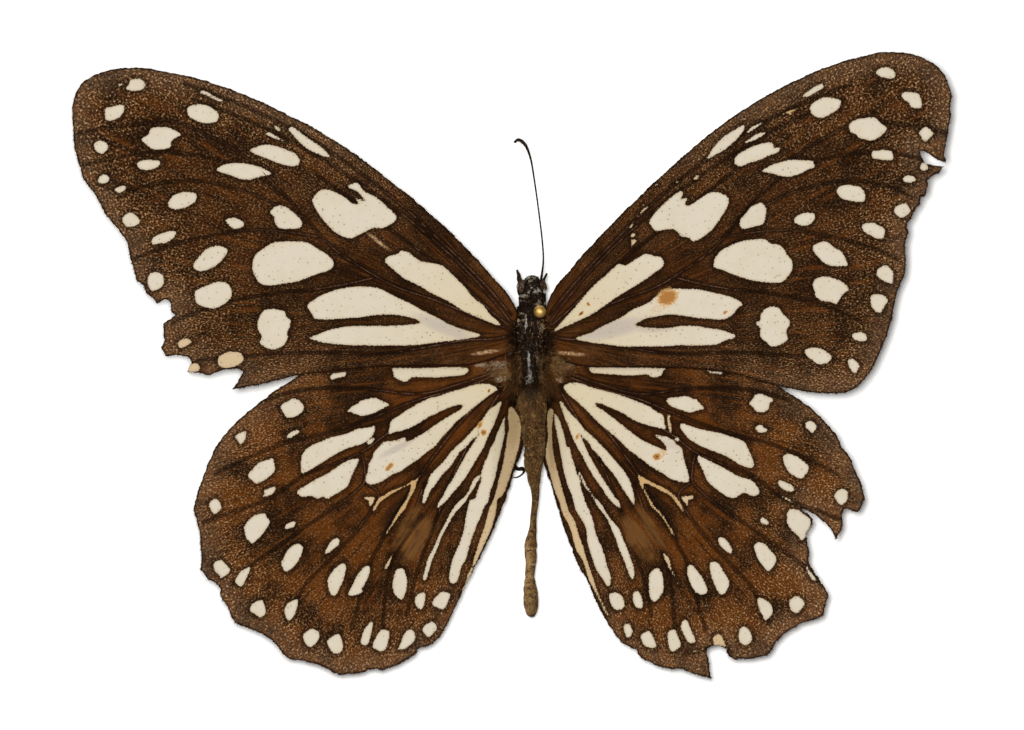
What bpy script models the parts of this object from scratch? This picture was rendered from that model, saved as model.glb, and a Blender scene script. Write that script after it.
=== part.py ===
"""A spread, dried butterfly on its pin, lying free on the flattened underside of its thorax.

The constants are in millimetres and MM turns them into the scene's metres. x runs along the span, y from
the tip of the abdomen to the head and z up from the surface that the specimen rests on.
"""
from math import cos, pi, sin

import bmesh
import bpy
from mathutils import Matrix, Vector
from mathutils.geometry import delaunay_2d_cdt

MM = 0.001
OBJECT_NAME = "spread_butterfly"
MIDLINE_X = 1.85
GAP = 0.3
SMALL_GAP = 0.12  # round the eyes and the pin, which are a millimetre across or less

# Wings
WING_THICKNESS = 0.3
FORE_ROOT_Z = 4.75
HIND_ROOT_Z = 4.1
WING_RISE = 0.03
WING_ARCH = 0.45
HALF_SPAN = 45.0
REAR_DROOP = 0.03
FOLD_DEPTH = 1.6
FOLD_INNER = 0.6
FOLD_OUTER = 4.2
FOLD_START_Y = -2.0
FOLD_FULL_Y = -4.5
GRID = 3.4
CURVE_STEPS = 3

# Each wing's edge: the front and the hind run are smooth curves through their points,
# and the outer run, worn and torn, is straight from point to point.
FORE_LEFT_FRONT = (
    (0.6, 5.1), (-0.2, 6.7), (-3.0, 9.95), (-7.0, 14.0), (-12.0, 18.15), (-17.0, 21.8), (-22.5, 24.8),
    (-28.0, 27.15), (-33.0, 28.5), (-37.0, 29.0), (-40.0, 28.5), (-42.0, 27.2), (-42.8, 24.9))
FORE_LEFT_OUTER = (
    (-42.6, 22.8), (-42.5, 21.15), (-41.95, 19.1), (-41.65, 18.2), (-40.4, 16.5), (-39.35, 14.5),
    (-38.05, 13.0), (-37.35, 12.0), (-36.95, 10.0), (-36.45, 8.2), (-35.75, 7.85), (-35.6, 7.15),
    (-35.1, 6.75), (-34.45, 6.1), (-33.6, 6.5), (-33.15, 6.1), (-33.1, 5.15), (-32.65, 5.0),
    (-33.9, 4.1), (-33.85, 3.2), (-33.7, 2.55), (-34.1, 1.8), (-33.65, 0.9), (-32.5, 1.05),
    (-31.4, 0.85), (-31.1, 0.35), (-31.6, -0.6), (-30.6, -0.65), (-29.4, -0.95), (-28.4, -0.5),
    (-26.7, -0.2), (-26.1, -0.5), (-26.8, -1.75), (-27.2, -2.3), (-25.2, -1.95), (-23.2, -1.5))
FORE_LEFT_HIND = (
    (-21.3, -1.0), (-17.5, -0.5), (-13.0, -0.1), (-8.0, 0.0), (-4.0, 0.1), (-1.5, 0.8), (0.2, 1.6),
    (0.3, 3.3))

FORE_RIGHT_FRONT = (
    (3.15, 5.0), (3.7, 6.85), (6.1, 9.95), (10.0, 14.15), (15.0, 18.95), (20.0, 23.2), (25.0, 26.45),
    (30.0, 28.85), (34.0, 30.1), (36.8, 30.54), (40.0, 29.95), (42.0, 28.3), (42.75, 26.3))
FORE_RIGHT_OUTER = (
    (42.55, 25.4), (42.65, 24.3), (42.45, 23.3), (42.2, 21.9), (41.95, 20.4), (42.2, 20.15), (42.1, 19.7),
    (41.3, 20.05), (40.05, 20.8), (39.55, 20.95), (39.75, 20.5), (40.0, 19.75), (40.3, 19.6),
    (41.9, 19.4), (41.45, 18.7), (41.05, 18.6), (40.3, 18.0), (40.45, 17.7), (40.25, 16.8),
    (40.05, 16.45), (39.7, 16.5), (39.55, 15.55), (39.25, 15.4), (39.15, 15.0), (38.65, 14.1),
    (38.35, 13.95), (38.3, 13.4), (38.5, 13.05), (38.2, 11.9), (38.25, 10.8), (38.2, 9.05),
    (37.45, 7.3), (37.05, 5.55), (36.85, 4.5), (36.4, 2.8), (35.7, 1.3), (35.1, -0.1))
FORE_RIGHT_HIND = (
    (34.4, -1.15), (33.4, -2.1), (32.0, -2.63), (30.0, -2.66), (27.0, -2.2), (24.5, -1.6), (21.5, -0.75),
    (18.0, -0.3), (13.0, -0.13), (7.5, -0.1), (5.0, 0.5), (3.5, 1.6), (3.4, 3.3))

HIND_LEFT_FRONT = (
    (0.1, 0.9), (-3.0, 2.6), (-8.0, 3.7), (-13.0, 3.3), (-17.5, 1.3), (-20.9, -1.05), (-23.8, -2.96),
    (-27.4, -6.04), (-29.08, -8.47), (-30.4, -11.8), (-31.0, -14.0))
HIND_LEFT_OUTER = (
    (-30.7, -14.8), (-30.35, -16.2), (-30.2, -18.8), (-30.27, -19.87), (-29.95, -20.1), (-29.6, -20.74),
    (-28.95, -20.96), (-28.3, -21.62), (-28.4, -22.28), (-27.68, -23.34), (-26.98, -24.97),
    (-25.9, -25.33), (-24.38, -25.96), (-23.36, -26.57), (-22.41, -27.65), (-21.84, -28.37),
    (-20.2, -28.67), (-18.67, -29.01), (-17.53, -29.59), (-17.27, -29.87), (-17.02, -29.75),
    (-16.64, -30.03), (-14.29, -29.72), (-14.02, -29.45), (-13.2, -29.41), (-12.67, -29.59),
    (-10.92, -28.96), (-9.28, -27.9), (-9.1, -27.47), (-7.83, -27.07), (-7.02, -26.33))
HIND_LEFT_INNER = (
    (-6.14, -24.85), (-4.46, -21.2), (-2.31, -16.98), (-0.7, -13.0), (0.1, -10.4), (0.95, -8.0),
    (1.25, -5.8), (0.9, -4.0), (0.1, -2.2))

HIND_RIGHT_FRONT = (
    (3.6, 0.9), (6.5, 2.7), (12.0, 4.0), (17.0, 3.4), (21.5, 1.3), (26.0, -1.99), (29.1, -4.1),
    (31.4, -6.5))
HIND_RIGHT_OUTER = (
    (31.85, -7.3), (32.0, -7.8), (32.35, -8.2), (32.9, -8.97), (33.3, -10.0), (33.96, -11.5),
    (34.25, -12.7), (34.1, -13.4), (33.65, -14.2), (33.0, -14.05), (32.2, -13.85), (32.04, -14.3),
    (32.15, -15.25), (32.0, -16.0), (31.65, -16.4), (31.4, -16.95), (31.05, -15.95), (30.55, -15.4),
    (29.9, -14.8), (29.0, -14.2), (28.1, -13.75), (28.3, -14.05), (28.9, -14.5), (29.3, -14.9),
    (29.1, -15.4), (28.85, -15.7), (28.58, -16.2), (28.65, -16.8), (28.88, -18.2), (28.77, -18.6),
    (28.9, -19.2), (29.82, -20.67), (30.35, -21.46), (30.76, -22.15), (30.54, -22.9), (30.22, -24.2),
    (29.95, -24.42), (28.1, -25.0), (26.7, -25.77), (25.7, -26.75), (25.05, -27.86), (24.72, -28.12),
    (22.8, -28.5), (21.98, -28.39), (21.65, -28.62), (20.74, -27.8), (20.87, -27.5), (20.0, -27.1),
    (18.85, -27.35), (19.04, -28.12), (19.34, -30.37), (18.6, -30.15), (17.03, -29.69), (16.6, -29.4),
    (15.6, -29.45), (14.15, -29.16), (12.9, -28.55), (12.22, -28.05), (12.12, -27.59), (11.3, -27.2),
    (10.62, -26.88))
HIND_RIGHT_INNER = (
    (9.71, -25.63), (8.5, -23.6), (7.1, -20.4), (6.44, -19.42), (5.0, -15.5), (3.9, -11.7), (3.1, -9.3),
    (2.75, -7.0), (2.9, -4.3), (3.6, -2.2))

# Thorax: y, centre x and half width along its length. It is taller than wide.
THORAX_STATIONS = (
    (6.1, 1.95, 0.7), (5.9, 1.95, 1.25), (5.3, 1.95, 1.5), (4.2, 1.9, 1.62), (2.6, 1.85, 1.75),
    (0.8, 1.85, 1.78), (-0.8, 1.85, 1.6), (-1.9, 1.85, 1.25), (-2.45, 1.85, 0.6))
THORAX_MID_Z = 2.5
THORAX_TALLNESS = 1.6

# Abdomen: y, centre x, centre z and radius, from the thorax to the tip.
ABDOMEN_STATIONS = (
    (-2.8, 1.9, 4.1, 0.5), (-3.1, 1.95, 4.1, 0.95), (-4.5, 2.1, 4.1, 1.24), (-6.0, 2.1, 4.05, 1.2),
    (-7.6, 2.08, 3.95, 1.08), (-9.2, 2.12, 3.8, 0.98), (-10.9, 2.17, 3.55, 0.66), (-12.6, 2.28, 3.25, 0.36),
    (-14.3, 2.12, 2.95, 0.32), (-15.8, 2.02, 2.7, 0.36), (-17.3, 1.8, 2.5, 0.61), (-18.7, 1.83, 2.35, 0.54),
    (-20.2, 1.74, 2.2, 0.51), (-21.4, 1.8, 2.1, 0.63), (-22.9, 1.82, 2.0, 0.7), (-23.9, 1.9, 1.9, 0.58),
    (-24.35, 2.0, 1.85, 0.2))
ABDOMEN_RING_PITCH = 1.45
ABDOMEN_RING_DEPTH = 0.05

# Head and what it carries
HEAD_CENTRE = (1.92, 7.5, 3.6)
HEAD_SIZE = (1.05, 1.2, 1.15)
EYE_CENTRES = {"eye_left": (1.1, 7.7, 3.6), "eye_right": (2.74, 7.75, 3.6)}
EYE_RADIUS = 0.64
PALPS = {
    "palp_left": ((0.88, 8.62, 3.35, 0.15), (0.7, 8.95, 3.5, 0.15), (0.48, 9.3, 3.6, 0.07)),
    "palp_right": ((3.1, 8.6, 3.35, 0.12), (3.22, 8.75, 3.5, 0.12), (3.38, 8.95, 3.6, 0.07))}
ANTENNA_ROUTE = (
    (2.88, 8.75, 4.1, 0.1), (3.04, 10.2, 4.6, 0.1), (2.96, 11.9, 4.95, 0.1), (2.7, 14.2, 5.3, 0.1),
    (2.41, 16.4, 5.5, 0.1), (2.1, 18.5, 5.6, 0.1), (1.83, 20.05, 5.65, 0.1), (1.42, 21.25, 5.65, 0.13),
    (0.97, 21.8, 5.6, 0.17), (0.57, 21.92, 5.55, 0.17), (0.22, 21.66, 5.5, 0.12))
PROBOSCIS_TURNS = 1.75
PROBOSCIS_OUTER = 0.75
PROBOSCIS_PITCH = 0.34
PROBOSCIS_RADIUS = 0.1
PROBOSCIS_CENTRE = (1.92, 8.1, 1.35)
PROBOSCIS_POINTS = 34

# Legs on the left, from the body to the claw; the right ones are their mirror images,
# except that the left hindleg's foot turns in below the abdomen and the right one's lies straight.
FORELEG_ROUTE = (
    (0.85, 6.55, 1.2, 0.15), (0.45, 7.25, 1.5, 0.15), (0.6, 8.0, 1.2, 0.12), (1.05, 8.3, 0.75, 0.08))
MIDLEG_ROUTE = (
    (-0.35, 2.0, 0.95, 0.24), (-1.5, 1.7, 1.85, 0.26), (-2.7, 0.9, 2.3, 0.22), (-3.7, -0.8, 1.5, 0.19),
    (-4.6, -2.5, 0.55, 0.16), (-5.2, -4.1, 0.18, 0.13), (-5.6, -5.6, 0.13, 0.1))
HINDLEG_LEFT_ROUTE = (
    (-0.2, -0.7, 0.95, 0.24), (-1.4, -1.8, 1.7, 0.26), (-2.2, -3.3, 2.0, 0.22), (-1.6, -5.4, 1.35, 0.19),
    (-0.7, -7.6, 0.6, 0.16), (0.15, -9.1, 0.18, 0.14), (0.85, -9.85, 0.16, 0.13), (0.85, -10.3, 0.15, 0.1),
    (0.5, -10.68, 0.13, 0.07), (0.05, -10.8, 0.12, 0.05))
HINDLEG_RIGHT_ROUTE = (
    (3.9, -0.7, 0.95, 0.24), (5.1, -1.8, 1.7, 0.26), (5.9, -3.3, 2.0, 0.22), (5.7, -5.4, 1.3, 0.19),
    (5.5, -7.4, 0.55, 0.16), (5.5, -8.8, 0.18, 0.13), (5.6, -10.2, 0.13, 0.1))

# Pin
PIN_X = 2.7
PIN_Y = 5.28
PIN_RADIUS = 0.22
PIN_BOTTOM_Z = 0.4
PIN_HEAD_RADIUS = 0.62
PIN_HEAD_Z = 7.6


def clear_scene():
    """Remove what the scene starts with."""
    for item in list(bpy.data.objects):
        bpy.data.objects.remove(item, do_unlink=True)


def new_collection(name):
    """A collection below the scene's own."""
    collection = bpy.data.collections.new(name)
    bpy.context.scene.collection.children.link(collection)
    return collection


def make_material(name, colour, roughness, metallic=0.0):
    """A Principled material of one linear colour."""
    material = bpy.data.materials.new(name)
    material.use_nodes = True
    shader = material.node_tree.nodes["Principled BSDF"]
    shader.inputs["Base Color"].default_value = (*colour, 1.0)
    shader.inputs["Roughness"].default_value = roughness
    shader.inputs["Metallic"].default_value = metallic
    material.diffuse_color = (*colour, 1.0)
    return material


def add_object(name, mesh, material, collection):
    """Put a finished mesh in the scene under its node's name."""
    mesh.materials.clear()
    mesh.materials.append(material)
    item = bpy.data.objects.new(name, mesh)
    collection.objects.link(item)
    return item


def smooth_run(rows, steps):
    """Points of a Catmull-Rom curve through rows of equal length, steps to each stretch."""
    vectors = [Vector(row) for row in rows]
    first = vectors[0] * 2 - vectors[1]
    last = vectors[-1] * 2 - vectors[-2]
    padded = [first, *vectors, last]
    points = []
    for index in range(1, len(padded) - 2):
        before, start, end, after = padded[index - 1:index + 3]
        for step in range(steps):
            t = step / steps
            points.append(0.5 * (2 * start + (end - before) * t
                                 + (2 * before - 5 * start + 4 * end - after) * t ** 2
                                 + (3 * start - before - 3 * end + after) * t ** 3))
    points.append(vectors[-1])
    return points


def smoothstep(value):
    """Ease from 0 to 1, held at both ends."""
    value = min(max(value, 0.0), 1.0)
    return value * value * (3.0 - 2.0 * value)


def wing_level(x, y):
    """Height that both pairs of wings share: a slight rise outwards with an arch along the span."""
    outward = abs(x - MIDLINE_X)
    droop = REAR_DROOP * min(y, 0.0)
    return WING_RISE * outward + WING_ARCH * sin(pi * min(outward / HALF_SPAN, 1.0)) + droop


def forewing_height(x, y):
    """Middle surface of a forewing."""
    return FORE_ROOT_Z + wing_level(x, y)


def hindwing_height(x, y):
    """Middle surface of a hindwing, whose inner edge folds down below the abdomen."""
    outward = abs(x - MIDLINE_X)
    across = 1.0 - smoothstep((outward - FOLD_INNER) / (FOLD_OUTER - FOLD_INNER))
    along = smoothstep((FOLD_START_Y - y) / (FOLD_START_Y - FOLD_FULL_Y))
    return HIND_ROOT_Z + wing_level(x, y) - FOLD_DEPTH * across * along


def grid_points(edge):
    """Points of a square grid over an outline's box, to bend the sheet between its edges."""
    left = min(point[0] for point in edge)
    right = max(point[0] for point in edge)
    bottom = min(point[1] for point in edge)
    top = max(point[1] for point in edge)
    clear = GRID / 3
    points = []
    for column in range(1, int((right - left) / GRID) + 1):
        for row in range(1, int((top - bottom) / GRID) + 1):
            point = Vector((left + column * GRID, bottom + row * GRID))
            if min((point - Vector(corner)).length for corner in edge) > clear:
                points.append(point)
    return points


def make_wing(name, runs, height, material, collection):
    """A thin sheet inside an outline. The fill of a flat curve has no points inside to bend it by,
    so the outline is filled with triangles over a grid and each point is set to its height."""
    front, outer, hind = runs
    edge = [point[:] for point in smooth_run(front, CURVE_STEPS)]
    edge += list(outer)
    edge += [point[:] for point in smooth_run(hind, CURVE_STEPS)]
    flat = [Vector(point) for point in edge] + grid_points(edge)
    filled = delaunay_2d_cdt(flat, [], [list(range(len(edge)))], 1, 1e-5)
    points, triangles = filled[0], filled[2]
    used = sorted({corner for triangle in triangles for corner in triangle})
    place = {old: new for new, old in enumerate(used)}
    vertices = [(points[i][0] * MM, points[i][1] * MM, height(points[i][0], points[i][1]) * MM) for i in used]
    mesh = bpy.data.meshes.new(name)
    mesh.from_pydata(vertices, [], [[place[corner] for corner in triangle] for triangle in triangles])
    wing = add_object(name, mesh, material, collection)
    sheet = wing.modifiers.new("thickness", "SOLIDIFY")
    sheet.thickness = WING_THICKNESS * MM
    sheet.offset = 0.0


def make_wings(material, collection):
    """The four wings. The forewings lie over the hindwings."""
    wings = {
        "forewing_left": ((FORE_LEFT_FRONT, FORE_LEFT_OUTER, FORE_LEFT_HIND), forewing_height),
        "forewing_right": ((FORE_RIGHT_FRONT, FORE_RIGHT_OUTER, FORE_RIGHT_HIND), forewing_height),
        "hindwing_left": ((HIND_LEFT_FRONT, HIND_LEFT_OUTER, HIND_LEFT_INNER), hindwing_height),
        "hindwing_right": ((HIND_RIGHT_FRONT, HIND_RIGHT_OUTER, HIND_RIGHT_INNER), hindwing_height)}
    for name, (runs, height) in wings.items():
        make_wing(name, runs, height, material, collection)


def tube_mesh(name, route, resolution):
    """A closed round tube through rows of x, y, z and radius."""
    curve = bpy.data.curves.new(name, "CURVE")
    curve.dimensions = "3D"
    curve.bevel_depth = MM
    curve.bevel_resolution = resolution
    curve.use_fill_caps = True
    spline = curve.splines.new("POLY")
    spline.points.add(len(route) - 1)
    for point, row in zip(spline.points, route):
        point.co = (row[0] * MM, row[1] * MM, row[2] * MM, 1.0)
        point.radius = row[3]
    guide = bpy.data.objects.new(name + "_curve", curve)
    bpy.context.scene.collection.objects.link(guide)
    evaluated = guide.evaluated_get(bpy.context.evaluated_depsgraph_get())
    mesh = bpy.data.meshes.new_from_object(evaluated)
    mesh.name = name
    bpy.data.objects.remove(guide, do_unlink=True)
    shape = bmesh.new()
    shape.from_mesh(mesh)
    bmesh.ops.remove_doubles(shape, verts=shape.verts, dist=1e-7)
    bmesh.ops.recalc_face_normals(shape, faces=shape.faces)
    shape.to_mesh(mesh)
    shape.free()
    mesh.shade_smooth()
    return mesh


def make_tube(name, route, steps, material, collection, resolution=2):
    """A limb: a tube along the smooth curve through its route."""
    mesh = tube_mesh(name, smooth_run(route, steps), resolution)
    add_object(name, mesh, material, collection)


def ellipsoid_mesh(name, centre, size, segments, rings):
    """A closed ellipsoid from a sphere primitive."""
    shape = bmesh.new()
    bmesh.ops.create_uvsphere(shape, u_segments=segments, v_segments=rings, radius=MM)
    scale = Matrix.Diagonal((*size, 1.0))
    move = Matrix.Translation(Vector(centre) * MM)
    bmesh.ops.transform(shape, matrix=move @ scale, verts=shape.verts)
    mesh = bpy.data.meshes.new(name)
    shape.to_mesh(mesh)
    shape.free()
    mesh.shade_smooth()
    return mesh


def cylinder_mesh(name, centre, radius, bottom, top, segments):
    """A closed upright cylinder."""
    shape = bmesh.new()
    bmesh.ops.create_cone(shape, cap_ends=True, segments=segments, radius1=radius * MM,
                          radius2=radius * MM, depth=(top - bottom) * MM)
    middle = Vector((*centre, (bottom + top) / 2)) * MM
    bmesh.ops.translate(shape, vec=middle, verts=shape.verts)
    mesh = bpy.data.meshes.new(name)
    shape.to_mesh(mesh)
    shape.free()
    return mesh


def cut(item, name, mesh, collection):
    """Take a cutter's shape out of a piece."""
    cutter = bpy.data.objects.new(name, mesh)
    cutter.hide_render = True
    cutter.display_type = "WIRE"
    collection.objects.link(cutter)
    boolean = item.modifiers.new(name, "BOOLEAN")
    boolean.operation = "DIFFERENCE"
    boolean.solver = "EXACT"
    boolean.object = cutter


def make_thorax(material, collection, cutters):
    """The body's middle: a tall round form cut flat where it rests, with the pin's hole through it."""
    route = [(x, y, THORAX_MID_Z, radius) for y, x, radius in THORAX_STATIONS]
    mesh = tube_mesh("thorax", smooth_run(route, 2), 8)
    shape = bmesh.new()
    shape.from_mesh(mesh)
    middle = Matrix.Translation((0.0, 0.0, THORAX_MID_Z * MM))
    taller = Matrix.Diagonal((1.0, 1.0, THORAX_TALLNESS, 1.0))
    bmesh.ops.transform(shape, matrix=middle @ taller @ middle.inverted(), verts=shape.verts)
    everything = shape.verts[:] + shape.edges[:] + shape.faces[:]
    sliced = bmesh.ops.bisect_plane(shape, geom=everything, plane_co=(0, 0, 0), plane_no=(0, 0, 1),
                                    clear_inner=True)
    rim = [part for part in sliced["geom_cut"] if isinstance(part, bmesh.types.BMEdge)]
    bmesh.ops.contextual_create(shape, geom=rim)
    bmesh.ops.recalc_face_normals(shape, faces=shape.faces)
    shape.to_mesh(mesh)
    shape.free()
    mesh.set_sharp_from_angle(angle=pi / 4)
    thorax = add_object("thorax", mesh, material, collection)
    hole = cylinder_mesh("pin_hole", (PIN_X, PIN_Y), PIN_RADIUS + SMALL_GAP, -1.0, PIN_HEAD_Z, 16)
    cut(thorax, "pin_hole", hole, cutters)


def make_abdomen(material, collection):
    """The shrivelled rear body, with shallow rings at its segments."""
    route = [(x, y, z, radius) for y, x, z, radius in ABDOMEN_STATIONS]
    rows = smooth_run(route, 3)
    for row in rows:
        row[3] *= 1.0 + ABDOMEN_RING_DEPTH * cos(2 * pi * row[1] / ABDOMEN_RING_PITCH)
    add_object("abdomen", tube_mesh("abdomen", rows, 4), material, collection)


def make_head(material, collection, cutters):
    """The head capsule, hollowed at both sides where the eyes sit."""
    head = add_object("head", ellipsoid_mesh("head", HEAD_CENTRE, HEAD_SIZE, 20, 14), material, collection)
    socket_size = (EYE_RADIUS + SMALL_GAP,) * 3
    for eye, centre in EYE_CENTRES.items():
        cut(head, eye + "_socket", ellipsoid_mesh(eye + "_socket", centre, socket_size, 16, 10), cutters)


def make_eyes(material, collection):
    """The compound eyes."""
    for name, centre in EYE_CENTRES.items():
        add_object(name, ellipsoid_mesh(name, centre, (EYE_RADIUS,) * 3, 16, 10), material, collection)


def make_proboscis(material, collection):
    """The tongue: a flat coil that hangs upright below the head."""
    route = []
    for index in range(PROBOSCIS_POINTS):
        share = index / (PROBOSCIS_POINTS - 1)
        angle = pi / 2 + 2 * pi * PROBOSCIS_TURNS * share
        radius = PROBOSCIS_OUTER - PROBOSCIS_PITCH * PROBOSCIS_TURNS * share
        x, y, z = PROBOSCIS_CENTRE
        route.append((x, y + radius * cos(angle), z + radius * sin(angle), PROBOSCIS_RADIUS))
    add_object("proboscis", tube_mesh("proboscis", route, 1), material, collection)


def mirrored(route):
    """A route's mirror image across the body's midline."""
    return [(2 * MIDLINE_X - x, y, z, radius) for x, y, z, radius in route]


def make_legs(material, collection):
    """Two folded forelegs and four walking legs whose feet touch the resting plane."""
    routes = {
        "foreleg_left": FORELEG_ROUTE,
        "foreleg_right": mirrored(FORELEG_ROUTE),
        "midleg_left": MIDLEG_ROUTE,
        "midleg_right": mirrored(MIDLEG_ROUTE),
        "hindleg_left": HINDLEG_LEFT_ROUTE,
        "hindleg_right": HINDLEG_RIGHT_ROUTE}
    for name, route in routes.items():
        make_tube(name, route, 2, material, collection)


def make_pin(steel, gilt, collection):
    """The pin, clipped just above the resting plane, and its round head."""
    head_bottom = PIN_HEAD_Z - PIN_HEAD_RADIUS - GAP
    shaft = cylinder_mesh("pin_shaft", (PIN_X, PIN_Y), PIN_RADIUS, PIN_BOTTOM_Z, head_bottom, 12)
    shaft.set_sharp_from_angle(angle=pi / 4)
    add_object("pin_shaft", shaft, steel, collection)
    head = ellipsoid_mesh("pin_head", (PIN_X, PIN_Y, PIN_HEAD_Z), (PIN_HEAD_RADIUS,) * 3, 20, 12)
    add_object("pin_head", head, gilt, collection)


def build():
    """Make every piece of the specimen."""
    clear_scene()
    parts = new_collection(OBJECT_NAME)
    cutters = new_collection("cutters")
    wing = make_material("wing_scales", (0.052, 0.024, 0.009), 0.8)
    dark = make_material("dark_cuticle", (0.012, 0.010, 0.010), 0.6)
    brown = make_material("dry_abdomen", (0.11, 0.075, 0.045), 0.85)
    eye = make_material("eye_facets", (0.035, 0.022, 0.014), 0.35)
    steel = make_material("pin_steel", (0.35, 0.35, 0.36), 0.3, 1.0)
    gilt = make_material("gilt_pin_head", (0.55, 0.34, 0.09), 0.35, 1.0)
    make_wings(wing, parts)
    make_thorax(dark, parts, cutters)
    make_abdomen(brown, parts)
    make_head(dark, parts, cutters)
    make_eyes(eye, parts)
    for name, route in PALPS.items():
        make_tube(name, route, 2, dark, parts)
    make_tube("antenna_right", ANTENNA_ROUTE, 3, dark, parts)
    make_proboscis(dark, parts)
    make_legs(dark, parts)
    make_pin(steel, gilt, parts)


build()
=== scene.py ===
"""The looks of a spread, dried butterfly on its pin: scaled wings, hairy body, legs and gilt pin head.

Lengths are in millimetres until MM turns them into metres. x runs along the span, y from the tail to the
head and z up, as in the frame. Outlines of marks are flat rows of a tone and then x, y, x, y and so on.
"""

import bpy
import numpy as np
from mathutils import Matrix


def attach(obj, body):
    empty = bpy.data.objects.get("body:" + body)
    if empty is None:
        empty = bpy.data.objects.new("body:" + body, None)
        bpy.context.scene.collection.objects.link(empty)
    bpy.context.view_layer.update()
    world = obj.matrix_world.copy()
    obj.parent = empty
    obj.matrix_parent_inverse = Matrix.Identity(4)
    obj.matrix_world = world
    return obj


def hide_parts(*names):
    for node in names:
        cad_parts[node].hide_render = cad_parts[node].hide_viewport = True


MM = 0.001
SEED = 7

# The picture: straight down, with so many pixels of it to a millimetre of the specimen
PHOTO_WIDTH = 1024
PIXELS_PER_MM = 10.3
AIM_X = 0.0
AIM_Y = 0.1
CAMERA_HEIGHT = 300.0

# Body axis, and the wings' height over the resting plane, as in the solids
MIDLINE_X = 1.85
FORE_ROOT_Z = 4.75
HIND_ROOT_Z = 4.1
WING_RISE = 0.03
WING_ARCH = 0.45
HALF_SPAN = 45.0
REAR_DROOP = 0.03
FOLD_DEPTH = 1.6
FOLD_INNER = 0.6
FOLD_OUTER = 4.2
FOLD_START_Y = -2.0
FOLD_FULL_Y = -4.5

# Wing membrane
CELL = 0.17  # side of the mesh's squares
MEMBRANE = 0.14  # thickness with its scales on both sides
MEMBRANE_EDGE = 0.05
EDGE_TAPER = 0.5
REACH = 0.9  # how far round a mark its distance is worked out
VEIN_HEIGHT = 0.02
VEIN_WIDTH = 0.3
VEIN_RADIUS = 0.115
VEIN_TIP = 0.75  # a vein's radius at its outer end, as a share of that at its inner end
RIPPLE_HEIGHT = 0.07
RIPPLE_LENGTH = 7.0
FINE_RIPPLE_HEIGHT = 0.012
FINE_RIPPLE_LENGTH = 1.6
FRINGE_PER_MM = 9
FRINGE_LENGTHS = (0.1, 0.27)
FRINGE_FRONT = 0.4  # how long the fringe along the front is, as a share of the rest
FRINGE_RADIUS = 0.022
FRINGE_ROOT = 0.06  # how far inside the rim it is rooted
TURN_RADIUS = 26.0  # turns an angle round the root into mm for the materials

# Tones of the pale marks, from cream to ochre
CREAM = 0.0
TAN = 0.35
BUFF = 0.6
OCHRE = 1.0

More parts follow.
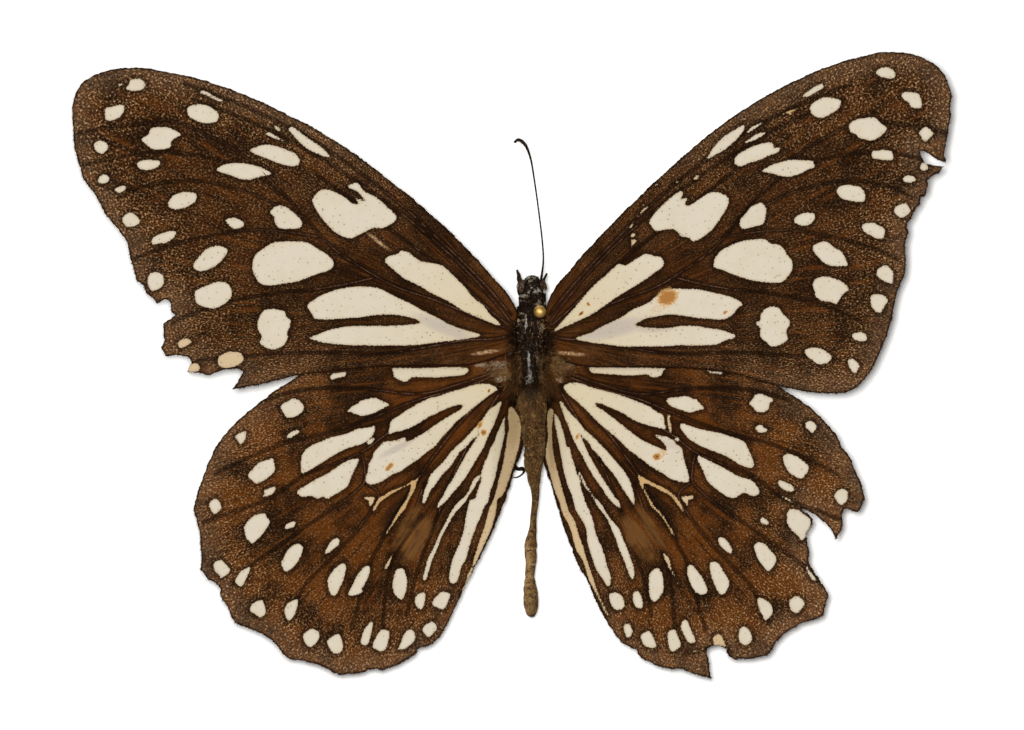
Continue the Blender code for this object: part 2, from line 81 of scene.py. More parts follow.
# Marks of each wing, spot by spot
FORE_LEFT_MARKS = (
    (CREAM, -37.0, 27.8, -36.1, 27.9, -35.6, 27.4, -35.8, 26.9, -36.6, 26.7, -37.5, 26.9, -37.2, 27.3),
    (CREAM, -38.6, 27.1, -38.1, 27.4, -37.7, 27.4, -38.1, 27.2),
    (CREAM, -39.5, 25.0, -38.8, 25.2, -37.9, 25.4, -37.6, 25.1, -37.8, 24.5, -38.2, 24.1, -39.0, 23.8,
     -39.5, 24.0, -39.5, 24.6),
    (CREAM, -40.1, 21.9, -39.4, 21.7, -39.2, 21.2, -39.6, 20.7, -39.9, 20.6, -40.4, 20.9, -40.6, 21.5),
    (CREAM, -40.2, 18.1, -39.9, 18.5, -39.5, 18.6, -39.1, 18.3, -39.2, 17.9, -39.7, 17.7, -40.1, 17.8),
    (CREAM, -38.6, 17.2, -37.9, 17.5, -37.4, 17.4, -37.7, 17.0, -38.2, 16.8, -38.5, 17.0),
    (CREAM, -36.4, 19.7, -35.8, 20.0, -34.8, 20.0, -34.2, 19.9, -34.2, 19.5, -34.7, 19.2, -35.5, 19.0,
     -36.2, 19.2),
    (CREAM, -35.0, 23.1, -34.0, 23.2, -33.2, 23.1, -32.1, 22.5, -32.8, 22.1, -33.1, 21.7, -33.2, 21.2,
     -34.3, 21.0, -35.0, 21.1, -35.5, 21.5, -36.0, 22.0, -35.3, 22.5),
    (CREAM, -31.5, 25.1, -30.7, 25.4, -30.0, 25.4, -29.2, 25.1, -28.5, 24.5, -28.6, 23.8, -29.2, 23.6,
     -30.1, 23.6, -31.2, 24.1, -31.5, 24.5),
    (CREAM, -30.3, 26.5, -30.1, 26.8, -29.6, 26.6, -28.9, 26.2, -28.1, 25.8, -28.2, 25.6, -28.9, 25.9,
     -29.7, 26.3),
    (CREAM, -23.9, 22.5, -23.5, 22.7, -22.7, 22.2, -21.9, 21.7, -22.8, 22.0),
    (CREAM, -23.1, 23.3, -22.7, 23.2, -22.4, 22.8, -22.8, 22.9),
    (CREAM, -25.5, 21.0, -25.0, 21.2, -24.2, 21.5, -23.1, 21.4, -21.9, 21.0, -21.0, 20.6, -20.6, 19.9,
     -20.8, 19.5, -21.6, 19.4, -23.0, 19.8, -24.2, 20.3, -25.0, 20.6),
    (CREAM, -28.7, 19.0, -28.1, 19.5, -27.2, 19.7, -26.2, 19.7, -24.7, 19.4, -23.3, 18.7, -24.4, 18.4,
     -25.4, 18.1, -26.5, 18.2, -27.6, 18.6),
    (CREAM, -21.7, 23.0, -21.3, 23.2, -20.2, 22.4, -19.0, 21.6, -18.1, 20.9, -17.6, 20.2, -17.8, 20.2,
     -18.9, 20.6, -19.9, 21.1, -20.8, 21.9, -21.4, 22.6),
    (CREAM, -32.8, 16.6, -31.9, 16.9, -30.8, 16.8, -30.6, 16.4, -30.8, 15.9, -31.7, 15.4, -32.8, 15.2,
     -33.4, 15.6, -33.2, 16.2),
    (CREAM, -37.4, 14.8, -36.9, 14.9, -36.3, 14.4, -36.1, 14.0, -36.6, 13.6, -37.3, 13.5, -37.8, 14.0,
     -37.8, 14.4),
    (CREAM, -32.8, 13.1, -32.6, 12.9, -32.9, 12.4, -33.5, 12.0, -34.2, 11.9, -34.8, 11.8, -35.0, 12.1,
     -34.7, 12.6, -33.9, 12.9, -33.3, 13.1),
    (CREAM, -35.1, 9.0, -34.4, 9.1, -33.9, 8.8, -33.8, 8.1, -34.1, 7.6, -34.9, 7.3, -35.2, 7.6,
     -35.4, 8.3),
    (CREAM, -27.8, 14.2, -27.1, 14.4, -26.4, 14.2, -26.0, 13.8, -26.2, 13.5, -27.0, 13.3, -27.6, 13.8),
    (CREAM, -28.5, 11.7, -27.6, 11.3, -27.8, 10.8, -28.3, 10.1, -29.2, 9.5, -30.2, 9.2, -30.9, 9.5,
     -30.9, 9.9, -30.4, 10.6, -29.6, 11.4),
    (CREAM, -28.5, 8.2, -27.6, 8.0, -27.2, 7.3, -27.3, 6.6, -28.0, 6.0, -28.8, 5.6, -29.8, 5.7,
     -30.6, 6.1, -30.8, 6.9, -30.6, 7.4, -29.4, 7.9),
    (CREAM, -23.1, 12.0, -21.4, 12.1, -19.9, 12.0, -18.9, 11.4, -17.9, 10.8, -17.3, 10.0, -17.7, 9.3,
     -19.0, 8.9, -20.9, 8.2, -22.2, 8.0, -23.5, 7.8, -24.4, 8.0, -24.9, 8.6, -25.2, 9.3, -25.2, 9.7,
     -25.0, 10.7, -24.0, 11.5),
    (CREAM, -23.9, 5.5, -22.8, 5.5, -22.1, 5.3, -21.9, 4.8, -21.5, 4.4, -21.6, 3.7, -21.8, 3.4,
     -21.8, 2.6, -22.3, 1.9, -23.2, 1.6, -23.9, 1.8, -24.5, 2.3, -24.3, 2.9, -24.7, 3.6, -24.7, 4.3,
     -24.4, 5.0),
    (TAN, -31.8, 2.7, -31.1, 2.4, -31.7, 1.9, -32.3, 1.8, -32.4, 2.3),
    (TAN, -27.8, 1.3, -26.8, 1.4, -26.2, 1.1, -26.1, 0.5, -26.8, 0.0, -27.8, -0.2, -28.5, 0.1,
     -28.5, 0.8),
    (TAN, -30.8, 0.3, -30.3, 0.0, -30.5, -0.5, -31.4, -0.6, -31.5, -0.1),
    (CREAM, -19.8, 6.0, -19.0, 6.6, -18.0, 7.1, -16.7, 7.5, -15.3, 7.7, -13.9, 7.7, -12.8, 7.5, -11.8, 7.0,
     -10.8, 6.5, -9.9, 6.1, -8.7, 5.4, -7.2, 4.7, -6.2, 4.1, -4.9, 3.6, -3.0, 3.0, -4.6, 2.6, -7.2, 2.3,
     -9.8, 2.0, -12.3, 2.0, -14.9, 2.0, -16.9, 2.1, -18.4, 2.3, -19.7, 2.7, -19.0, 3.0, -17.8, 3.5,
     -16.4, 3.8, -14.9, 3.9, -12.3, 3.9, -10.3, 4.0, -8.9, 4.2, -9.5, 4.6, -10.8, 4.9, -12.1, 5.0,
     -13.6, 4.9, -14.9, 4.7, -16.7, 4.6, -18.1, 4.5, -19.1, 4.6, -19.4, 5.0, -19.8, 5.6),
    (CREAM, -12.3, 10.1, -12.1, 10.6, -11.1, 10.9, -10.8, 11.2, -10.0, 11.0, -8.9, 10.2, -7.7, 10.0,
     -6.7, 9.7, -5.7, 8.8, -4.6, 7.7, -3.7, 6.6, -2.8, 5.9, -2.1, 5.0, -1.2, 4.2, -1.3, 3.9, -2.3, 4.3,
     -4.0, 5.0, -5.0, 5.5, -6.2, 6.3, -7.7, 7.0, -9.0, 7.8, -10.3, 8.4, -11.1, 9.0, -11.8, 9.6),
    (CREAM, -19.4, 16.1, -19.0, 16.7, -18.5, 17.1, -17.7, 17.1, -16.8, 16.7, -16.1, 16.3, -15.5, 15.8,
     -14.9, 15.8, -15.2, 16.3, -14.3, 16.0, -14.6, 16.5, -15.1, 17.0, -16.0, 17.4, -15.2, 17.8,
     -14.8, 17.6, -14.4, 17.0, -13.6, 16.6, -12.8, 16.1, -12.1, 15.4, -11.4, 14.8, -11.2, 14.3,
     -11.7, 13.8, -12.5, 13.4, -13.5, 13.4, -14.1, 13.1, -14.9, 12.7, -15.5, 12.4, -16.2, 12.5,
     -17.2, 13.0, -18.0, 13.8, -18.6, 14.5, -19.1, 15.3),
    (CREAM, -23.5, 15.0, -22.7, 15.6, -21.9, 15.4, -21.2, 14.9, -20.5, 14.2, -20.4, 13.8, -20.6, 13.4,
     -21.6, 13.3, -22.6, 13.4, -23.0, 13.9, -23.1, 14.5))
HIND_LEFT_MARKS = (
    (CREAM, -22.5, -3.9, -21.9, -3.5, -21.4, -3.2, -20.9, -3.2, -20.4, -3.6, -20.2, -4.0, -20.3, -4.4,
     -21.0, -4.9, -21.4, -5.0, -21.9, -5.0, -22.1, -4.7),
    (CREAM, -26.9, -6.8, -26.4, -6.5, -25.9, -6.3, -25.8, -6.7, -26.0, -7.3, -26.4, -7.6, -26.7, -7.1),
    (CREAM, -21.9, -7.0, -21.7, -6.6, -21.2, -6.3, -20.7, -6.2, -20.7, -6.5, -21.4, -6.9),
    (CREAM, -20.4, -10.4, -20.5, -9.6, -20.4, -8.7, -20.1, -8.2, -19.5, -7.7, -18.5, -7.3, -17.5, -6.9,
     -16.2, -6.6, -15.0, -6.1, -14.1, -6.0, -13.4, -5.8, -13.3, -6.1, -13.5, -6.7, -14.1, -7.3,
     -14.7, -7.6, -16.0, -8.0, -17.0, -8.5, -18.0, -9.1, -19.1, -9.8, -19.8, -10.2),
    (CREAM, -14.1, -7.4, -13.8, -7.1, -13.4, -7.0, -13.3, -7.1, -13.8, -7.6),
    (CREAM, -20.9, -12.3, -20.6, -11.9, -20.0, -11.6, -19.1, -11.0, -18.0, -10.5, -17.0, -9.8, -16.0, -9.2,
     -15.3, -9.0, -14.9, -9.0, -15.0, -9.5, -15.3, -10.1, -15.6, -10.8, -15.8, -11.3, -16.1, -11.8,
     -17.4, -12.6, -17.9, -12.9, -18.4, -12.7, -19.0, -12.9, -19.4, -12.6, -20.3, -12.7, -20.7, -12.5),
    (CREAM, -16.0, -4.4, -15.5, -3.9, -15.1, -3.7, -14.7, -3.4, -14.1, -3.2, -13.3, -3.1, -12.8, -3.3,
     -11.9, -3.7, -12.3, -4.0, -12.9, -4.3, -13.5, -4.6, -14.3, -4.8, -14.9, -4.8, -15.6, -4.5),
    (CREAM, -11.6, -0.2, -9.3, -0.2, -6.0, -0.1, -5.1, -0.1, -4.3, -0.2, -4.3, -0.6, -4.8, -0.9, -6.0, -1.0,
     -7.1, -1.1, -8.3, -1.1, -9.7, -1.1, -10.2, -1.5, -10.6, -1.5, -11.4, -1.1, -11.5, -0.7),
    (CREAM, -17.6, -1.2, -17.6, -0.9, -17.3, -0.7, -16.3, -0.6, -16.1, -0.8, -16.3, -1.0, -17.4, -1.3),
    (CREAM, -12.0, -6.6, -11.9, -6.0, -11.7, -5.3, -11.0, -4.8, -9.9, -4.1, -8.2, -3.2, -7.1, -2.9,
     -6.0, -2.5, -4.8, -2.2, -4.0, -1.9, -2.8, -1.7, -2.0, -1.8, -1.4, -2.2, -1.7, -2.5, -2.3, -2.9,
     -2.8, -3.3, -3.7, -4.0, -4.4, -4.6, -5.3, -5.3, -6.0, -6.1, -6.5, -6.6, -7.1, -7.3, -7.4, -7.7,
     -8.2, -8.3, -8.9, -8.9, -9.3, -9.2, -10.1, -9.7, -10.8, -10.2, -11.5, -10.5, -12.3, -11.0,
     -13.1, -11.4, -13.8, -11.5, -14.2, -11.2, -14.2, -10.8, -14.0, -10.2, -13.9, -9.5, -13.6, -9.0,
     -13.4, -8.4, -13.2, -8.1, -12.5, -7.4, -12.0, -7.3, -11.2, -7.2, -10.4, -6.9, -10.3, -7.3,
     -9.8, -7.2, -9.1, -6.8, -8.4, -6.4, -7.6, -5.8, -6.5, -5.1, -5.5, -4.5, -5.0, -4.2, -4.8, -3.8,
     -5.3, -3.8, -6.0, -4.0, -6.7, -4.3, -7.3, -4.6, -8.2, -5.0, -9.3, -5.7, -10.4, -6.2, -11.3, -6.4),
    (CREAM, -8.7, -13.2, -8.5, -12.1, -8.2, -11.4, -8.0, -10.7, -7.5, -10.1, -6.6, -9.2, -6.0, -8.4,
     -5.3, -7.7, -4.6, -7.1, -4.0, -6.4, -3.5, -5.9, -3.0, -5.4, -2.7, -4.9, -2.3, -4.3, -1.6, -3.8,
     -1.1, -3.4, -1.0, -3.6, -1.2, -4.2, -1.4, -4.8, -1.6, -5.3, -1.9, -6.0, -2.2, -6.6, -2.5, -7.3,
     -2.8, -8.0, -3.3, -8.8, -3.7, -9.5, -4.2, -10.3, -4.7, -11.1, -5.3, -11.8, -6.0, -12.6, -6.5, -13.2,
     -7.1, -13.7, -7.3, -13.7, -7.1, -13.2, -6.7, -12.6, -6.3, -11.8, -5.7, -10.9, -5.3, -10.1,
     -4.8, -9.2, -4.3, -8.3, -3.7, -7.4, -3.4, -6.9, -3.2, -6.5, -3.5, -6.9, -4.0, -7.3, -4.5, -7.9,
     -5.1, -8.4, -5.6, -9.2, -6.1, -9.9, -6.6, -10.4, -7.1, -11.0, -7.5, -11.6, -7.9, -12.1,
     -8.2, -12.8, -8.5, -13.3),
    (CREAM, -0.8, -5.0, -1.1, -5.8, -1.5, -6.6, -1.7, -7.3, -2.1, -8.0, -2.4, -8.8, -2.7, -9.4,
     -3.0, -10.4, -3.0, -11.1, -3.3, -11.9, -3.6, -12.9, -4.1, -13.0, -4.3, -13.8, -4.5, -14.8,
     -4.7, -16.0, -5.1, -17.2, -5.5, -18.1, -5.8, -18.9, -6.0, -19.7, -6.1, -20.4, -6.0, -21.0,
     -5.5, -21.1, -5.1, -20.3, -4.9, -19.5, -4.5, -18.8, -4.2, -17.7, -3.8, -16.5, -3.4, -15.4,
     -3.0, -14.6, -2.7, -13.7, -2.3, -13.1, -2.1, -12.1, -1.7, -11.1, -1.5, -10.2, -1.3, -9.3,
     -1.1, -8.4, -0.9, -7.5, -0.7, -6.6, -0.7, -5.8, -0.7, -5.0),
    (CREAM, -3.2, -10.6, -3.7, -11.0, -4.0, -11.6, -4.2, -12.1, -4.5, -12.6, -5.0, -13.0, -5.4, -13.4,
     -5.7, -13.8, -6.1, -14.5, -6.5, -15.3, -7.0, -16.2, -7.4, -17.2, -7.8, -18.0, -8.2, -18.8,
     -8.4, -19.6, -8.6, -20.3, -8.6, -20.8, -8.3, -20.7, -8.1, -20.0, -7.9, -19.3, -7.6, -18.5,
     -7.2, -17.6, -6.8, -16.5, -6.2, -15.4, -5.7, -14.5, -5.1, -13.8, -4.8, -13.5, -4.4, -13.0,
     -4.1, -12.4, -3.7, -11.9, -3.4, -11.3, -3.1, -10.9),
    (BUFF, -0.2, -3.9, -0.4, -4.8, -0.3, -6.0, -0.5, -7.0, -0.6, -8.0, -0.8, -9.0, -1.0, -10.0,
     -1.3, -11.0, -1.5, -12.0, -1.8, -12.9, -2.2, -13.8, -2.4, -14.6, -2.7, -15.7, -3.1, -16.8,
     -3.4, -17.7, -3.7, -18.7, -3.9, -19.5, -4.3, -20.3, -4.6, -21.2, -4.9, -21.9, -4.8, -21.9,
     -4.3, -21.0, -3.9, -20.0, -3.5, -19.1, -3.0, -18.0, -2.5, -16.9, -2.1, -16.0, -1.7, -14.8,
     -1.5, -13.8, -1.4, -13.0, -0.8, -12.4, -0.5, -11.6, -0.2, -10.8, 0.1, -9.8, 0.4, -8.8, 0.7, -7.8,
     0.8, -7.0, 0.9, -6.0, 0.7, -5.0, 0.3, -4.3),
    (OCHRE, -9.0, -10.7, -9.3, -11.0, -9.8, -11.2, -10.4, -11.6, -11.2, -11.9, -11.9, -12.2, -12.5, -12.6,
     -12.9, -12.8, -13.2, -13.3, -13.6, -14.1, -13.2, -13.9, -12.9, -13.3, -12.5, -13.0, -12.0, -12.6,
     -11.3, -12.2, -10.6, -11.8, -9.9, -11.5, -9.8, -11.6, -9.9, -12.1, -10.1, -12.7, -10.5, -13.3,
     -10.9, -13.9, -11.3, -14.6, -11.7, -15.3, -12.1, -16.0, -12.3, -16.4, -12.1, -16.2, -11.5, -15.3,
     -11.0, -14.6, -10.6, -14.1, -10.4, -13.9, -10.1, -13.2, -9.8, -12.6, -9.4, -11.9, -9.3, -11.4),
    (TAN, -14.4, -12.7, -13.9, -12.7, -13.3, -12.8, -13.4, -13.1, -13.7, -13.6, -13.9, -13.5, -13.9, -13.1,
     -14.3, -12.9),
    (CREAM, -25.6, -10.5, -25.0, -9.8, -24.6, -9.4, -24.1, -9.2, -23.5, -9.0, -23.2, -9.0, -23.0, -9.9,
     -23.2, -10.4, -23.9, -11.0, -24.7, -11.4, -25.0, -11.3, -25.5, -10.9),
    (CREAM, -24.1, -12.1, -23.7, -11.9, -23.0, -11.7, -23.0, -12.0, -23.2, -12.4, -23.7, -12.6, -24.2, -12.7,
     -24.0, -12.3),
    (CREAM, -29.4, -13.3, -28.9, -12.9, -28.5, -13.0, -28.3, -13.4, -28.2, -13.8, -28.8, -14.4, -29.1, -14.2,
     -29.4, -13.6),
    (CREAM, -26.0, -15.9, -25.9, -15.4, -25.5, -14.9, -25.0, -14.5, -24.0, -14.3, -23.9, -14.6, -23.6, -14.9,
     -23.6, -15.4, -24.3, -16.4, -25.1, -17.2, -25.4, -17.1, -25.8, -16.7),
    (CREAM, -22.1, -15.8, -22.0, -15.5, -21.6, -15.2, -21.2, -15.1, -21.0, -15.3, -21.3, -15.7, -22.0, -15.8),
    (CREAM, -18.2, -18.1, -17.7, -17.2, -17.3, -16.8, -17.0, -16.7, -16.7, -16.9, -16.8, -17.3, -17.5, -17.9,
     -17.9, -18.2),
    (CREAM, -22.4, -19.1, -22.2, -18.7, -22.0, -18.2, -21.6, -17.7, -21.1, -17.3, -20.6, -17.3, -20.3, -17.6,
     -20.5, -18.5, -21.2, -19.5, -22.0, -20.0, -22.2, -19.7),
    (CREAM, -29.0, -19.3, -28.8, -19.0, -28.3, -18.8, -28.0, -19.0, -27.4, -19.7, -27.5, -20.1, -28.2, -20.6,
     -28.4, -20.3, -28.8, -20.0),
    (CREAM, -26.9, -20.9, -26.4, -20.0, -25.9, -19.7, -25.4, -19.5, -25.6, -20.2, -26.1, -21.2, -26.4, -21.4,
     -26.7, -21.2),
    (CREAM, -25.4, -23.5, -25.3, -23.2, -24.9, -22.9, -24.3, -22.7, -24.1, -23.0, -23.9, -23.9, -24.4, -24.4,
     -25.1, -24.0, -25.4, -23.8),
    (CREAM, -22.1, -23.9, -22.0, -23.4, -21.7, -23.0, -21.2, -22.7, -20.8, -22.7, -20.8, -23.2, -21.2, -24.3,
     -21.6, -24.7, -21.9, -24.5),
    (CREAM, -17.9, -21.0, -17.8, -20.5, -17.4, -19.9, -16.9, -19.4, -16.4, -19.1, -16.1, -19.5, -16.2, -20.1,
     -16.4, -20.9, -16.7, -21.5, -17.0, -22.1, -17.3, -22.3, -17.7, -22.0),
    (CREAM, -15.9, -22.2, -15.8, -21.8, -15.4, -21.1, -15.1, -20.4, -14.7, -19.9, -14.2, -19.4, -13.8, -19.5,
     -13.8, -19.9, -14.0, -20.6, -14.6, -21.7, -14.4, -21.9, -15.0, -22.2, -15.5, -22.3),
    (TAN, -12.4, -19.6, -11.9, -18.7, -11.6, -18.3, -11.7, -18.7, -12.1, -19.6),
    (CREAM, -11.6, -21.1, -11.5, -20.6, -11.3, -19.9, -10.9, -19.6, -10.5, -19.8, -10.2, -20.6, -10.2, -21.4,
     -10.4, -22.2, -10.7, -22.7, -11.2, -22.4, -11.5, -21.9),
    (CREAM, -9.4, -23.1, -9.4, -22.6, -9.2, -22.2, -8.6, -22.0, -8.4, -22.3, -8.6, -23.4, -9.0, -23.6),
    (CREAM, -7.7, -23.2, -7.7, -22.8, -7.3, -22.3, -6.8, -21.9, -6.2, -22.0, -6.0, -22.3, -6.5, -23.5,
     -6.9, -23.6, -7.4, -23.4),
    (CREAM, -8.7, -25.7, -8.6, -25.3, -8.2, -25.0, -7.8, -24.8, -7.4, -25.1, -7.3, -25.5, -8.0, -26.3,
     -8.4, -26.1),
    (CREAM, -11.1, -27.5, -10.9, -27.1, -10.5, -26.1, -10.1, -25.6, -9.6, -25.7, -9.4, -26.2, -9.5, -26.7,
     -10.3, -27.4, -10.8, -27.5),
    (CREAM, -13.5, -27.4, -13.5, -26.9, -13.2, -26.3, -12.8, -25.7, -12.3, -25.6, -11.9, -25.9, -12.1, -27.1,
     -12.4, -27.6, -12.8, -27.7, -13.2, -27.5),
    (CREAM, -14.7, -26.9, -14.6, -26.3, -14.4, -25.7, -14.0, -25.1, -13.7, -24.8, -13.5, -25.1, -13.8, -26.5,
     -14.0, -27.0, -14.4, -27.1),
    (CREAM, -17.9, -26.6, -17.5, -26.3, -17.0, -26.0, -16.6, -26.3, -16.4, -27.4, -16.7, -27.8, -17.3, -27.9,
     -17.9, -27.1),
    (CREAM, -20.3, -26.3, -20.1, -25.9, -19.5, -25.5, -18.9, -25.7, -18.7, -26.1, -18.8, -26.6, -19.5, -27.3,
     -20.0, -27.0))
